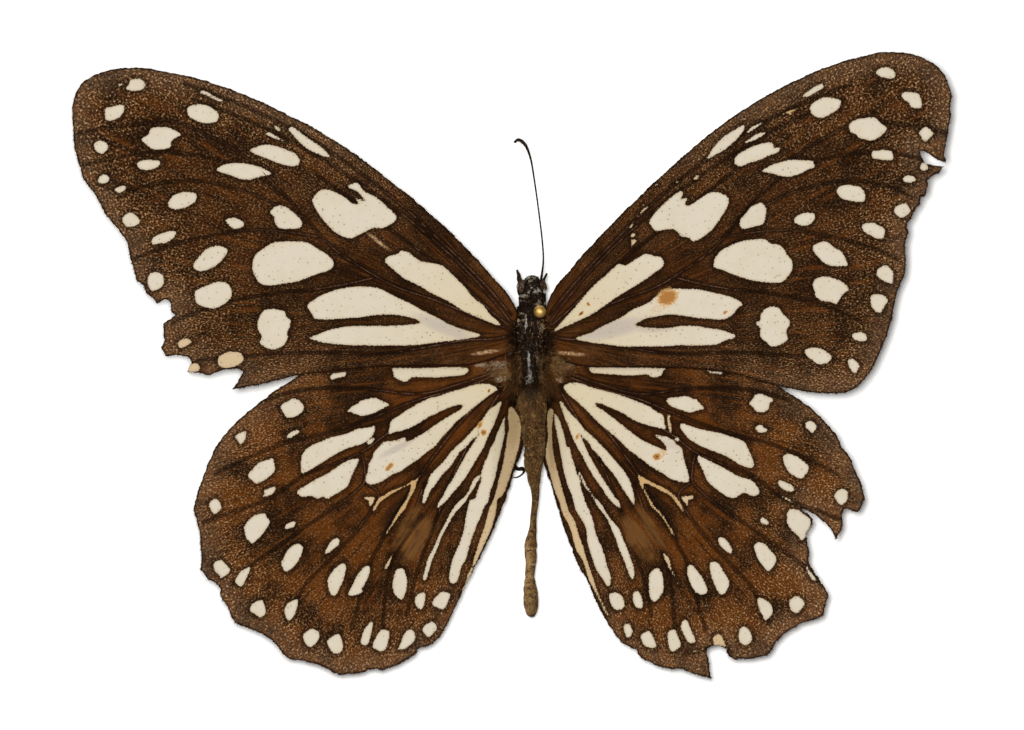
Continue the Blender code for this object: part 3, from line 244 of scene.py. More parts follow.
FORE_RIGHT_MARKS = (
    (CREAM, 35.3, 28.5, 35.6, 28.8, 36.0, 29.0, 36.5, 29.0, 36.9, 28.8, 37.2, 28.5, 37.2, 28.1, 36.9, 27.9,
     36.1, 28.0, 35.6, 28.2),
    (CREAM, 37.8, 26.3, 38.1, 26.6, 38.5, 26.6, 39.4, 26.5, 39.6, 26.2, 39.8, 25.4, 39.7, 25.1, 39.2, 25.0,
     38.7, 25.2, 38.5, 25.6, 38.1, 25.8),
    (CREAM, 39.5, 22.6, 39.7, 22.9, 40.0, 23.2, 40.3, 23.2, 40.9, 22.6, 40.6, 22.2, 40.2, 21.8, 39.8, 22.0,
     39.7, 22.3),
    (CREAM, 39.6, 19.3, 39.8, 19.7, 40.2, 19.7, 40.4, 19.3, 40.2, 19.0, 39.8, 19.0),
    (CREAM, 37.9, 18.2, 38.4, 18.5, 39.0, 18.4, 39.2, 18.1, 39.0, 17.9, 38.6, 17.8, 38.1, 17.9),
    (CREAM, 34.9, 20.6, 35.0, 20.9, 35.6, 20.9, 36.1, 21.0, 36.9, 20.8, 37.0, 20.4, 37.0, 20.0, 36.2, 20.0,
     35.4, 20.1, 35.0, 20.2),
    (CREAM, 32.7, 23.3, 33.0, 23.7, 33.6, 24.0, 34.4, 24.1, 35.3, 24.1, 35.8, 23.6, 36.4, 23.1, 36.1, 22.6,
     35.6, 22.2, 35.0, 21.9, 34.3, 22.0, 33.6, 22.2, 33.4, 22.5, 32.9, 22.7),
    (CREAM, 28.9, 25.1, 29.2, 25.5, 30.0, 26.0, 30.8, 26.1, 31.9, 25.8, 31.9, 25.5, 31.7, 25.0, 31.0, 24.5,
     30.1, 24.1, 29.3, 24.3, 29.0, 24.7),
    (CREAM, 28.2, 26.1, 28.5, 26.5, 29.2, 27.0, 30.0, 27.4, 30.2, 27.3, 30.2, 27.0, 29.5, 26.6, 28.8, 26.2),
    (OCHRE, 26.2, 24.4, 26.7, 24.5, 27.2, 24.4, 27.1, 24.6, 27.8, 25.0, 27.2, 24.9, 26.7, 24.7),
    (CREAM, 22.5, 21.6, 23.0, 22.0, 23.7, 22.5, 24.4, 22.7, 24.6, 22.6, 23.9, 22.1, 23.2, 21.8),
    (CREAM, 22.8, 22.7, 23.3, 23.2, 24.4, 23.7, 23.5, 23.0, 23.0, 22.7),
    (CREAM, 21.6, 19.8, 21.7, 20.3, 22.2, 20.7, 23.1, 21.2, 24.2, 21.6, 24.9, 21.7, 25.4, 21.6, 25.4, 21.2,
     26.0, 21.2, 25.9, 20.8, 25.1, 20.5, 24.0, 20.0, 23.0, 19.7, 22.2, 19.4, 21.7, 19.6),
    (CREAM, 24.2, 18.9, 24.8, 19.3, 25.7, 19.7, 26.9, 20.0, 28.0, 20.0, 29.2, 19.9, 29.3, 19.6, 29.4, 19.3,
     28.8, 19.1, 28.1, 18.7, 27.1, 18.4, 26.3, 18.4, 25.6, 18.6, 24.8, 18.8),
    (CREAM, 18.9, 20.1, 19.1, 20.5, 19.7, 21.4, 20.6, 22.3, 21.7, 23.0, 22.4, 23.4, 22.6, 23.2, 22.3, 22.6,
     21.7, 21.9, 20.9, 21.2, 20.1, 20.7, 19.4, 20.3),
    (TAN, 17.6, 18.2, 17.9, 18.5, 18.2, 18.5, 18.1, 18.2, 17.8, 18.1),
    (TAN, 15.9, 17.9, 16.1, 18.0, 16.2, 17.9, 16.0, 17.8),
    (TAN, 13.8, 17.6, 14.0, 17.7, 14.3, 17.6, 14.0, 17.5),
    (TAN, 12.6, 15.6, 12.7, 15.7, 12.8, 15.6, 12.7, 15.5),
    (TAN, 12.0, 14.4, 12.5, 15.0, 13.0, 15.4, 13.3, 15.6, 13.1, 15.3, 12.5, 14.8),
    (TAN, 11.4, 13.4, 11.6, 13.8, 11.8, 13.8, 11.6, 13.4),
    (TAN, 11.5, 12.6, 11.7, 12.9, 12.0, 12.8, 11.8, 12.5),
    (TAN, 11.6, 12.3, 12.1, 12.2, 11.9, 11.9, 11.5, 11.5, 11.6, 11.9),
    (CREAM, 31.5, 17.0, 31.9, 17.5, 32.8, 17.6, 33.1, 17.5, 33.5, 17.5, 34.0, 17.2, 34.3, 16.6, 34.2, 16.0,
     33.6, 15.9, 33.1, 16.0, 32.5, 16.1, 32.0, 16.3, 31.7, 16.6),
    (CREAM, 37.1, 15.0, 37.2, 15.4, 37.7, 15.7, 38.2, 15.8, 38.5, 15.5, 38.7, 15.0, 38.4, 14.7, 37.9, 14.4,
     37.4, 14.6),
    (CREAM, 34.0, 13.5, 34.1, 13.8, 35.1, 13.9, 35.7, 13.6, 36.2, 13.3, 36.2, 12.9, 36.0, 12.4, 35.3, 12.4,
     34.8, 12.7, 34.2, 13.0),
    (CREAM, 27.4, 14.0, 27.5, 14.4, 28.1, 14.8, 28.8, 14.9, 29.4, 14.7, 29.3, 14.1, 28.8, 13.7, 28.1, 13.6),
    (CREAM, 22.1, 13.7, 22.2, 14.3, 22.7, 14.8, 23.1, 15.4, 23.7, 15.7, 24.2, 15.9, 24.5, 15.6, 24.7, 15.2,
     24.6, 14.5, 24.4, 13.8, 23.8, 13.6, 23.0, 13.4, 22.4, 13.3),
    (CREAM, 19.6, 10.0, 19.7, 10.5, 20.3, 11.2, 21.0, 11.6, 22.2, 12.1, 23.6, 12.3, 24.6, 12.3, 25.1, 11.9,
     25.9, 11.8, 26.4, 11.4, 26.7, 10.8, 27.2, 10.2, 27.2, 9.3, 26.7, 8.6, 26.1, 8.1, 24.9, 8.1, 24.0, 8.2,
     23.0, 8.4, 21.4, 8.9, 20.5, 9.3, 19.6, 9.6),
    (CREAM, 29.2, 11.5, 29.4, 11.8, 30.2, 12.1, 30.7, 12.0, 31.3, 11.5, 32.0, 11.1, 32.4, 10.4, 32.6, 9.9,
     32.4, 9.7, 31.2, 9.7, 30.3, 10.0, 29.7, 10.6, 29.3, 11.1),
    (CREAM, 29.2, 7.8, 29.4, 8.4, 30.1, 8.7, 31.0, 8.6, 32.0, 8.2, 32.7, 7.5, 32.2, 7.0, 31.7, 6.3, 31.5, 6.0,
     31.0, 6.2, 30.2, 6.3, 29.5, 6.7, 29.4, 7.2),
    (CREAM, 35.4, 8.9, 35.5, 9.4, 36.2, 9.8, 36.6, 9.6, 37.0, 9.1, 37.0, 8.7, 36.9, 8.0, 36.2, 8.2, 35.6,
     8.6),
    (CREAM, 34.8, 6.5, 34.9, 6.9, 35.3, 7.0, 36.0, 6.9, 36.5, 6.4, 36.2, 5.9, 35.8, 5.2, 35.3, 5.3, 34.9,
     5.8),
    (CREAM, 24.1, 4.9, 24.3, 5.2, 24.6, 5.6, 25.3, 5.8, 26.0, 5.6, 26.2, 5.2, 26.7, 4.7, 27.0, 4.2, 26.8, 3.7,
     26.6, 3.3, 26.8, 2.7, 26.5, 2.3, 25.9, 2.0, 25.2, 1.9, 24.7, 2.3, 24.2, 2.7, 24.1, 3.2, 24.1, 3.7,
     23.6, 4.2, 24.1, 4.4),
    (CREAM, 28.4, 1.5, 28.7, 1.7, 29.4, 1.8, 30.2, 1.6, 30.6, 1.3, 31.0, 1.0, 30.9, 0.5, 30.3, 0.2, 29.7, 0.2,
     29.1, 0.6, 28.6, 1.0),
    (CREAM, 33.0, 3.0, 33.2, 3.2, 33.9, 3.3, 34.4, 3.0, 34.4, 2.5, 33.8, 2.4, 33.2, 2.6),
    (CREAM, 32.6, 0.5, 32.8, 0.7, 33.3, 0.6, 33.7, 0.1, 33.7, -0.1, 33.4, -0.7, 33.0, -0.5, 32.7, 0.0),
    (CREAM, 13.3, 13.9, 13.5, 14.4, 14.2, 15.2, 15.1, 16.1, 16.0, 16.8, 16.5, 17.0, 16.6, 16.7, 16.4, 16.2,
     17.0, 16.3, 16.8, 15.7, 17.2, 15.6, 18.0, 16.1, 18.9, 16.7, 19.5, 16.9, 20.3, 16.8, 21.0, 16.3,
     21.0, 15.7, 20.6, 14.9, 20.0, 14.0, 19.4, 13.2, 18.5, 12.5, 17.6, 12.1, 17.1, 12.5, 16.4, 12.6,
     16.0, 13.1, 15.5, 13.3, 14.7, 13.2, 14.0, 13.1, 13.5, 13.6),
    (CREAM, 4.0, 3.4, 4.4, 3.8, 5.1, 4.6, 6.1, 5.7, 7.1, 6.9, 8.1, 8.0, 9.2, 8.9, 9.9, 9.6, 10.4, 9.9,
     11.0, 9.8, 11.6, 10.1, 12.2, 10.5, 13.0, 10.9, 13.8, 10.7, 14.4, 10.6, 14.7, 10.2, 14.6, 9.6,
     13.9, 9.1, 13.1, 8.5, 12.0, 7.8, 11.0, 7.2, 9.9, 6.5, 8.9, 5.8, 7.9, 5.1, 6.9, 4.6, 5.8, 4.1,
     4.9, 3.7, 4.3, 3.4),
    (CREAM, 6.1, 2.6, 6.9, 3.0, 7.6, 3.2, 8.6, 3.8, 9.7, 4.3, 10.7, 4.8, 11.7, 5.5, 12.7, 5.9, 13.3, 6.2,
     13.9, 6.7, 14.8, 7.2, 15.8, 7.5, 17.1, 7.5, 18.4, 7.4, 19.7, 7.1, 21.0, 6.8, 21.9, 6.4, 22.4, 6.0,
     22.0, 5.7, 21.6, 5.2, 21.0, 4.7, 20.1, 4.5, 18.9, 4.6, 17.7, 4.7, 16.5, 4.9, 15.2, 5.0, 14.0, 4.8,
     13.0, 4.6, 12.4, 4.3, 12.0, 4.0, 12.7, 3.8, 13.9, 3.7, 15.2, 3.7, 16.5, 3.9, 17.7, 3.9, 19.0, 3.7,
     20.3, 3.5, 21.2, 3.2, 21.7, 3.0, 21.5, 2.7, 20.7, 2.5, 19.9, 2.1, 18.4, 2.0, 16.5, 2.0, 14.5, 1.9,
     12.6, 1.9, 10.7, 1.9, 9.2, 2.1, 8.1, 2.2, 7.1, 2.4))
HIND_RIGHT_MARKS = (
    (CREAM, 7.5, -0.3, 7.9, -0.1, 14.5, -0.2, 14.7, -0.4, 14.4, -1.0, 13.6, -1.1, 13.1, -0.8, 12.0, -0.9,
     10.7, -0.9, 9.4, -0.8, 8.1, -0.7, 7.7, -0.6),
    (CREAM, 18.9, -0.4, 19.5, -0.5, 20.4, -0.6, 20.3, -0.8, 19.3, -0.7),
    (CREAM, 23.0, -3.6, 23.4, -3.2, 23.6, -2.8, 24.3, -2.7, 24.6, -2.9, 25.2, -3.1, 25.3, -3.4, 25.0, -3.7,
     24.9, -4.2, 24.4, -4.5, 23.7, -4.4, 23.4, -4.0),
    (CREAM, 28.5, -5.5, 28.9, -5.3, 29.2, -5.4, 29.6, -5.8, 29.4, -6.3, 29.1, -6.5, 28.8, -6.2, 28.5, -6.0),
    (CREAM, 23.6, -6.0, 24.1, -5.7, 24.5, -6.0, 24.9, -6.1, 24.6, -6.4, 24.2, -6.5, 23.8, -6.3),
    (CREAM, 16.3, -5.9, 16.4, -5.6, 16.8, -5.6, 17.2, -5.8, 18.2, -6.1, 19.1, -6.3, 20.2, -6.5, 21.1, -6.8,
     22.0, -7.1, 22.6, -7.4, 22.9, -8.0, 23.2, -8.6, 23.5, -9.5, 23.2, -9.9, 22.2, -9.6, 21.2, -9.0,
     20.2, -8.5, 19.1, -8.1, 18.0, -7.6, 17.1, -7.0, 16.6, -6.4),
    (CREAM, 15.8, -7.0, 16.0, -6.8, 16.3, -7.2, 16.0, -7.3),
    (TAN, 15.1, -4.7, 15.4, -4.8, 15.3, -5.1, 15.5, -6.0, 15.4, -6.5, 15.2, -6.0, 15.1, -5.2),
    (CREAM, 18.0, -8.9, 18.1, -8.7, 18.6, -8.9, 19.4, -9.3, 20.2, -9.7, 21.1, -10.2, 22.0, -10.7, 23.0, -11.0,
     23.6, -11.4, 24.0, -12.0, 23.9, -12.5, 23.2, -12.6, 22.6, -12.3, 22.0, -12.6, 21.5, -12.8, 20.9, -12.7,
     20.3, -12.3, 19.5, -11.7, 19.0, -11.2, 18.6, -10.3, 18.2, -9.5),
    (CREAM, 15.0, -3.3, 15.3, -3.1, 16.2, -3.0, 16.7, -2.9, 17.3, -3.0, 17.6, -3.2, 17.9, -3.2, 18.3, -3.7,
     18.7, -4.1, 18.1, -4.3, 17.4, -4.5, 16.8, -4.4, 15.9, -4.1, 15.3, -3.8),
    (CREAM, 5.0, -2.1, 5.2, -1.8, 5.8, -1.6, 6.8, -1.7, 7.8, -2.1, 9.0, -2.4, 10.1, -2.7, 11.3, -3.1,
     12.3, -3.5, 13.3, -3.9, 14.0, -4.4, 14.7, -4.8, 14.8, -5.5, 14.9, -6.1, 14.2, -6.0, 13.0, -5.7,
     11.9, -5.3, 10.8, -4.6, 9.9, -4.2, 9.0, -3.8, 8.4, -3.6, 8.1, -3.6, 8.2, -3.9, 9.0, -4.4, 9.9, -5.1,
     10.8, -5.8, 11.7, -6.5, 12.5, -7.1, 13.3, -7.5, 14.2, -7.9, 14.9, -8.2, 15.0, -8.0, 14.7, -7.5,
     14.2, -7.0, 13.8, -6.8, 14.0, -6.7, 14.7, -6.8, 15.5, -7.1, 16.0, -7.6, 16.5, -8.0, 16.6, -8.7,
     16.8, -9.4, 17.1, -10.3, 17.2, -11.2, 16.8, -11.3, 16.2, -11.2, 15.3, -10.9, 14.6, -10.4, 13.9, -10.0,
     13.0, -9.4, 12.1, -8.7, 11.3, -8.1, 10.7, -7.5, 10.3, -7.1, 9.2, -6.2, 8.4, -5.5, 7.7, -4.8,
     6.8, -3.9, 6.0, -3.2, 5.3, -2.6),
    (CREAM, 4.6, -3.4, 4.9, -3.5, 5.2, -4.0, 5.9, -4.8, 6.5, -5.4, 7.0, -6.1, 7.8, -6.8, 8.4, -7.4, 9.0, -8.0,
     9.7, -8.8, 10.3, -9.5, 10.8, -10.1, 11.2, -10.7, 11.5, -11.3, 11.7, -12.0, 11.9, -12.8, 11.9, -13.4,
     11.8, -13.4, 11.4, -12.9, 10.8, -12.0, 10.3, -11.2, 9.7, -10.3, 9.0, -9.5, 8.5, -8.8, 7.9, -8.2,
     7.4, -7.4, 6.9, -6.9, 6.6, -6.6, 6.8, -7.1, 7.2, -8.0, 7.7, -9.0, 8.2, -9.9, 8.8, -10.9, 9.4, -11.8,
     9.9, -12.6, 10.4, -13.2, 10.6, -13.8, 10.5, -13.8, 9.9, -13.4, 9.2, -12.6, 8.6, -11.7, 7.9, -10.7,
     7.2, -9.5, 6.7, -8.5, 6.1, -7.5, 5.8, -6.8, 5.5, -5.9, 5.1, -5.0, 4.8, -4.1),
    (CREAM, 4.1, -4.7, 4.5, -5.0, 4.8, -5.9, 5.1, -6.8, 5.3, -7.8, 5.6, -7.9, 5.8, -8.8, 6.1, -9.7, 6.3,
     -10.4,
     6.6, -11.0, 6.7, -11.8, 7.0, -12.7, 7.2, -13.4, 7.5, -14.0, 7.8, -14.8, 8.1, -16.0, 8.4, -16.9,
     8.8, -17.8, 9.1, -18.8, 9.3, -19.6, 9.6, -20.4, 9.5, -21.3, 9.2, -21.3, 8.7, -20.5, 8.2, -19.8,
     7.9, -19.0, 7.6, -18.1, 7.3, -17.0, 7.2, -15.8, 6.7, -14.8, 6.2, -14.0, 6.0, -13.2, 5.7, -12.3,
     5.3, -11.3, 5.0, -10.1, 4.8, -9.0, 4.6, -7.9, 4.4, -6.8, 4.2, -5.8),
    (CREAM, 6.5, -10.2, 6.9, -10.8, 7.1, -11.3, 7.5, -12.0, 8.0, -12.7, 8.6, -13.3, 9.2, -14.3, 9.8, -15.1,
     10.4, -15.8, 10.8, -16.8, 11.2, -17.7, 11.5, -18.6, 11.8, -19.5, 11.9, -20.3, 11.7, -20.7, 11.4, -20.3,
     11.1, -19.5, 10.8, -18.7, 10.4, -17.8, 10.0, -16.6, 9.6, -15.7, 9.2, -14.8, 8.6, -14.0, 8.0, -13.1,
     7.6, -12.4, 7.1, -11.8, 6.7, -10.9),
    (BUFF, 3.5, -4.3, 3.4, -5.6, 3.5, -6.8, 3.3, -8.0, 3.3, -9.0, 3.6, -10.1, 3.9, -11.3, 4.2, -12.3,
     4.6, -13.2, 4.8, -14.0, 5.0, -14.5, 5.5, -15.4, 5.9, -16.6, 6.2, -17.8, 6.7, -18.6, 7.0, -19.2,
     7.2, -19.9, 7.5, -20.8, 8.0, -21.8, 8.5, -22.8, 8.9, -23.7, 9.3, -24.3, 9.3, -23.9, 8.9, -23.2,
     8.5, -22.4, 8.1, -21.3, 7.8, -20.4, 7.5, -19.5, 7.2, -18.6, 6.9, -17.5, 6.5, -16.4, 6.1, -15.1,
     5.5, -14.0, 5.1, -12.7, 4.8, -11.6, 4.5, -10.5, 4.2, -9.3, 4.0, -8.2, 3.9, -7.1, 3.9, -5.8, 4.0, -4.3),
    (OCHRE, 12.2, -10.6, 12.7, -10.8, 13.6, -11.3, 14.5, -11.7, 15.2, -12.1, 15.8, -12.6, 16.3, -13.2,
     16.6, -13.9, 16.8, -14.4, 16.3, -13.8, 15.8, -13.1, 15.4, -12.6, 14.6, -12.2, 13.7, -11.7, 12.9, -11.4,
     12.8, -11.7, 13.0, -12.2, 13.3, -12.7, 13.7, -13.4, 14.1, -13.9, 14.4, -14.1, 14.8, -14.7, 15.2, -15.4,
     15.6, -16.0, 15.8, -16.5, 15.6, -16.4, 15.3, -15.9, 14.9, -15.2, 14.5, -14.6, 14.0, -14.1, 13.5, -13.6,
     13.2, -13.0, 12.8, -12.2, 12.5, -11.6),
    (TAN, 16.4, -12.7, 17.6, -12.6, 17.5, -12.9, 17.1, -13.0, 17.1, -13.6, 16.8, -13.3, 16.6, -13.0),
    (CREAM, 26.3, -9.0, 26.4, -8.7, 26.8, -8.5, 27.5, -8.7, 28.1, -9.1, 28.7, -9.6, 28.8, -10.1, 28.5, -10.5,
     28.2, -10.9, 27.6, -10.8, 27.0, -10.4, 26.6, -9.9),
    (CREAM, 25.8, -11.2, 26.1, -11.1, 26.6, -11.3, 27.1, -11.5, 27.4, -12.0, 27.1, -12.2, 26.6, -12.1,
     26.1, -11.8, 25.9, -11.5),
    (CREAM, 31.3, -12.6, 31.5, -12.2, 32.0, -11.9, 32.5, -12.1, 32.6, -12.5, 32.5, -13.1, 32.0, -13.5,
     31.6, -13.2),
    (TAN, 25.8, -12.4, 26.9, -12.9, 27.3, -13.2, 28.1, -13.7, 27.3, -13.3, 26.8, -13.1),
    (CREAM, 26.7, -14.6, 26.7, -14.3, 27.0, -13.9, 27.4, -13.9, 27.9, -14.0, 28.2, -14.3, 28.8, -14.7,
     29.0, -15.0, 28.9, -15.8, 28.6, -16.1, 28.5, -16.6, 28.2, -16.9, 28.0, -16.9, 27.8, -16.5, 27.3, -16.1,
     26.9, -15.6, 26.7, -15.2),
    (CREAM, 24.1, -14.8, 24.3, -14.7, 24.7, -14.9, 25.0, -15.3, 24.8, -15.4, 24.3, -15.3, 24.1, -15.0),
    (CREAM, 20.0, -16.8, 20.3, -16.6, 20.7, -16.8, 21.1, -17.3, 21.4, -17.9, 21.2, -18.2, 20.7, -17.9,
     20.2, -17.4),
    (CREAM, 23.5, -17.5, 23.7, -17.2, 24.1, -17.1, 24.6, -17.3, 25.1, -17.9, 25.6, -18.5, 25.6, -19.0,
     25.3, -19.6, 24.9, -19.9, 24.5, -19.6, 24.1, -19.1, 23.7, -18.3),
    (CREAM, 26.9, -23.0, 27.1, -22.6, 27.6, -22.3, 28.1, -22.6, 28.4, -23.0, 28.1, -23.6, 27.7, -24.0,
     27.1, -23.7),
    (CREAM, 28.5, -19.2, 28.7, -19.5, 28.9, -19.9, 29.4, -20.5, 29.5, -20.9, 29.2, -20.8, 28.9, -20.4,
     28.6, -19.8),
    (CREAM, 22.0, -26.0, 22.2, -25.4, 22.6, -25.3, 23.0, -25.6, 23.3, -26.2, 23.2, -26.8, 22.7, -27.1,
     22.2, -26.9, 22.0, -26.4),
    (CREAM, 23.8, -22.7, 24.1, -22.5, 24.6, -22.7, 25.1, -23.1, 25.3, -23.8, 25.1, -24.3, 24.6, -24.7,
     24.3, -24.2, 24.0, -23.6),
    (CREAM, 19.2, -19.2, 19.4, -19.0, 19.6, -19.0, 20.1, -19.2, 20.5, -19.9, 20.9, -20.5, 21.1, -21.1,
     20.8, -21.9, 20.4, -22.2, 20.0, -21.9, 19.6, -21.1, 19.3, -20.2),
    (CREAM, 17.0, -19.8, 17.1, -19.4, 17.5, -19.3, 17.9, -19.8, 18.4, -20.4, 18.8, -21.2, 19.0, -21.9,
     18.5, -22.2, 17.9, -22.0, 17.4, -21.3, 17.1, -20.5),
    (TAN, 14.6, -18.1, 14.9, -18.3, 15.3, -18.8, 15.5, -19.7, 16.2, -21.3, 15.3, -19.7, 14.9, -18.9),
    (CREAM, 13.3, -20.5, 13.5, -20.0, 14.1, -19.6, 14.5, -20.0, 14.7, -20.8, 14.7, -21.8, 14.3, -22.5,
     13.8, -22.9, 13.4, -22.4, 13.3, -21.5),
    (CREAM, 11.7, -22.4, 11.9, -21.9, 12.3, -21.9, 12.6, -22.5, 12.7, -23.4, 12.2, -23.5, 11.9, -23.2),
    (CREAM, 9.4, -22.3, 9.8, -22.0, 10.4, -22.1, 10.8, -22.6, 10.9, -23.4, 10.2, -23.7, 9.7, -23.3),
    (CREAM, 10.8, -25.3, 11.2, -25.0, 11.5, -25.2, 11.7, -25.9, 11.3, -26.4, 11.0, -26.0),
    (CREAM, 12.5, -26.2, 13.0, -25.8, 13.4, -25.8, 13.8, -26.5, 14.0, -27.3, 13.1, -27.3, 12.7, -26.9),
    (CREAM, 15.1, -26.0, 15.3, -25.7, 15.8, -25.6, 16.1, -26.2, 16.4, -27.1, 15.9, -27.6, 15.5, -27.7,
     15.2, -27.1),
    (CREAM, 16.4, -25.2, 16.6, -24.7, 17.0, -24.7, 17.3, -25.4, 17.7, -26.3, 17.8, -26.8, 17.2, -26.9,
     16.8, -26.3, 16.5, -25.7),
    (BUFF, 19.5, -26.4, 20.0, -26.0, 20.4, -26.3, 20.7, -27.0, 20.9, -27.5, 20.6, -27.3, 20.2, -27.1,
     19.6, -27.1, 19.6, -26.8),
    (TAN, 16.9, -27.9, 17.9, -27.6, 18.8, -27.4, 17.9, -27.7))

# Veins of the left wings, from the root outwards. The right wings' are their mirror image, a little narrower.
FORE_VEINS = (
    ((-0.1, 5.0), (-2.6, 7.9), (-5.9, 11.2), (-11.3, 16.1), (-17.0, 20.4), (-20.9, 22.8), (-26.6, 25.5),
     (-31.8, 27.4)),
    ((0.1, 4.0), (-1.5, 6.0), (-4.1, 8.9), (-7.0, 11.7), (-11.9, 15.7), (-17.2, 19.3), (-21.0, 21.6),
     (-25.0, 23.6), (-31.0, 25.9)),
    ((0.0, 3.7), (-2.3, 5.6), (-5.2, 8.2), (-8.2, 10.6), (-12.5, 13.8), (-16.5, 16.8), (-19.0, 18.6)),
    ((-0.2, 3.5), (-4.0, 5.0), (-7.5, 6.4), (-10.8, 7.5), (-13.2, 8.7), (-16.8, 11.0), (-18.5, 12.6),
     (-20.0, 14.3), (-22.2, 16.6), (-26.0, 19.2), (-31.0, 20.5), (-35.3, 20.7), (-38.2, 20.3), (-41.6, 19.5)),
    ((-22.0, 16.5), (-26.0, 20.4), (-32.5, 23.7), (-35.9, 23.5), (-39.6, 23.1), (-42.1, 22.6)),
    ((-20.0, 14.3), (-22.0, 15.2), (-26.0, 17.0), (-31.0, 18.0), (-35.9, 17.4), (-38.2, 16.3)),
    ((-18.6, 12.5), (-21.0, 12.9), (-25.0, 13.2), (-30.0, 12.5), (-34.5, 11.3), (-36.6, 10.4)),
    ((-13.3, 8.6), (-15.0, 8.2), (-17.0, 7.8), (-19.5, 7.4), (-22.0, 7.2), (-26.0, 6.6), (-30.0, 5.5),
     (-33.0, 4.2)),
    ((-0.4, 2.9), (-2.0, 2.6), (-4.6, 2.5), (-8.5, 1.8), (-11.0, 1.4), (-13.8, 1.2), (-20.0, 1.3),
     (-26.0, 1.0), (-30.5, 0.6)))
HIND_VEINS = (
    ((-1.8, -0.6), (-5.0, -1.7), (-9.0, -2.7), (-14.2, -2.2), (-17.8, -2.1), (-21.3, -2.5), (-23.9, -3.3)),
    ((-1.6, -0.9), (-5.0, -2.2), (-8.9, -3.2), (-12.0, -4.4), (-14.9, -5.5), (-18.4, -6.6), (-22.0, -7.5),
     (-25.6, -8.9), (-28.8, -10.5)),
    ((-8.9, -4.9), (-12.0, -6.5), (-14.5, -8.3), (-17.3, -9.5), (-20.4, -10.7), (-23.3, -12.8),
     (-27.0, -14.1), (-30.0, -15.2)),
    ((-14.6, -8.4), (-14.3, -10.0), (-14.5, -11.5), (-17.0, -13.6), (-19.9, -15.5), (-22.7, -17.5),
     (-25.3, -19.3), (-27.2, -21.2)),
    ((-14.3, -11.2), (-12.9, -12.6), (-14.5, -15.2), (-16.2, -17.3), (-18.4, -19.5), (-20.4, -21.7),
     (-22.0, -25.0)),
    ((-1.2, -1.8), (-4.5, -4.9), (-7.5, -8.6), (-9.3, -11.2), (-12.3, -16.2), (-12.9, -17.5), (-13.8, -19.3),
     (-15.6, -25.6)),
    ((-8.5, -11.4), (-9.9, -15.3), (-11.4, -18.2), (-12.2, -21.5), (-12.6, -25.6)),
    ((-0.9, -2.1), (-3.6, -6.5), (-5.9, -11.0), (-7.4, -15.0), (-9.4, -20.6), (-10.2, -24.2)))
RIGHT_WIDTH = {"fore": 0.925, "hind": 0.97}

# Soft shades on each wing: what it is, then rows of x, y, long and short radius, turn in degrees, strength
# The first kind on each wing is painted shade on the wing's base beside the body, where the thorax and its
# hair shade it, partly dark hair scales; on each hindwing its third row is a band of dark scales.
LEFT_FORE_SHADES = {
    "painted_shade_and_dark_scales": ((0.1, 2.9, 0.6, 1.2, 0, 0.9),),
    "veil": ((-6.5, 3.7, 3.4, 0.7, -22, 0.8),),
    "glow": ((-2.5, 1.35, 1.5, 0.17, 8, 0.7), (-13.0, 12.1, 1.5, 0.16, -38, 0.7))}
RIGHT_FORE_SHADES = {
    "painted_shade_and_dark_scales": ((3.7, 2.3, 0.6, 1.3, 0, 0.9),),
    "veil": ((9.6, 3.6, 3.8, 0.95, 12, 0.9), (13.5, 3.6, 2.2, 0.4, 0, 0.7)),
    "glow": ((5.7, 1.2, 1.5, 0.17, -4, 0.7),),
    "stain": ((15.1, 6.65, 1.15, 0.85, 25, 0.62), (14.2, 5.6, 1.1, 0.6, 20, 0.22),
              (20.7, 5.2, 0.3, 0.2, 20, 0.56), (6.7, 5.1, 0.3, 0.14, 40, 1.0),
              (7.4, 6.0, 0.26, 0.12, -60, 0.9))}
LEFT_HIND_SHADES = {
    "painted_shade_and_dark_scales": ((0.1, -2.9, 0.6, 1.0, -30, 0.9), (-0.3, 0.9, 0.8, 0.4, 0, 0.7),
             (-11.5, -14.0, 2.5, 0.75, 55, 0.65)),
    "veil": ((-11.2, -8.0, 2.0, 0.36, 27, 0.8),),
    "buff": ((0.3, -5.2, 0.9, 3.0, -6, 0.75), (-1.2, -12.0, 0.6, 3.5, -12, 0.15)),
    "glow": ((-3.0, 0.1, 0.6, 0.16, 6, 0.8), (-1.4, 0.32, 0.45, 0.16, -20, 0.5)),
    "stain": ((-11.78, -9.66, 0.36, 0.26, 40, 0.62), (-12.05, -9.95, 0.32, 0.26, 40, 0.6),
              (-2.75, -6.45, 0.3, 0.3, 0, 0.8), (-3.1, -5.7, 0.5, 0.2, 60, 0.6),
              (-2.25, -2.4, 0.16, 0.14, 0, 1.0)),
    "brand": ((-10.3, -15.6, 2.8, 0.6, 60, 0.7), (-9.3, -16.9, 2.5, 0.95, 60, 1.0))}
RIGHT_HIND_SHADES = {
    "painted_shade_and_dark_scales": ((3.6, -2.9, 0.6, 1.0, 30, 0.9), (4.0, 0.9, 0.8, 0.4, 0, 0.7),
             (14.8, -14.0, 2.5, 0.75, -55, 0.65)),
    "veil": ((15.3, -7.6, 1.3, 0.4, -25, 0.5),),
    "buff": ((3.8, -6.6, 0.45, 4.0, 4, 0.85), (5.1, -12.4, 0.4, 3.5, 12, 0.35)),
    "glow": ((5.4, 0.1, 0.5, 0.14, -6, 0.4),),
    "stain": ((14.04, -8.82, 0.4, 0.34, 0, 0.75), (14.4, -8.6, 0.8, 0.5, 30, 0.3),
              (6.35, -6.85, 0.45, 0.2, 60, 0.5)),
    "brand": ((13.5, -15.7, 2.9, 0.6, -57, 0.7), (12.2, -16.8, 2.6, 0.95, -57, 1.0))}

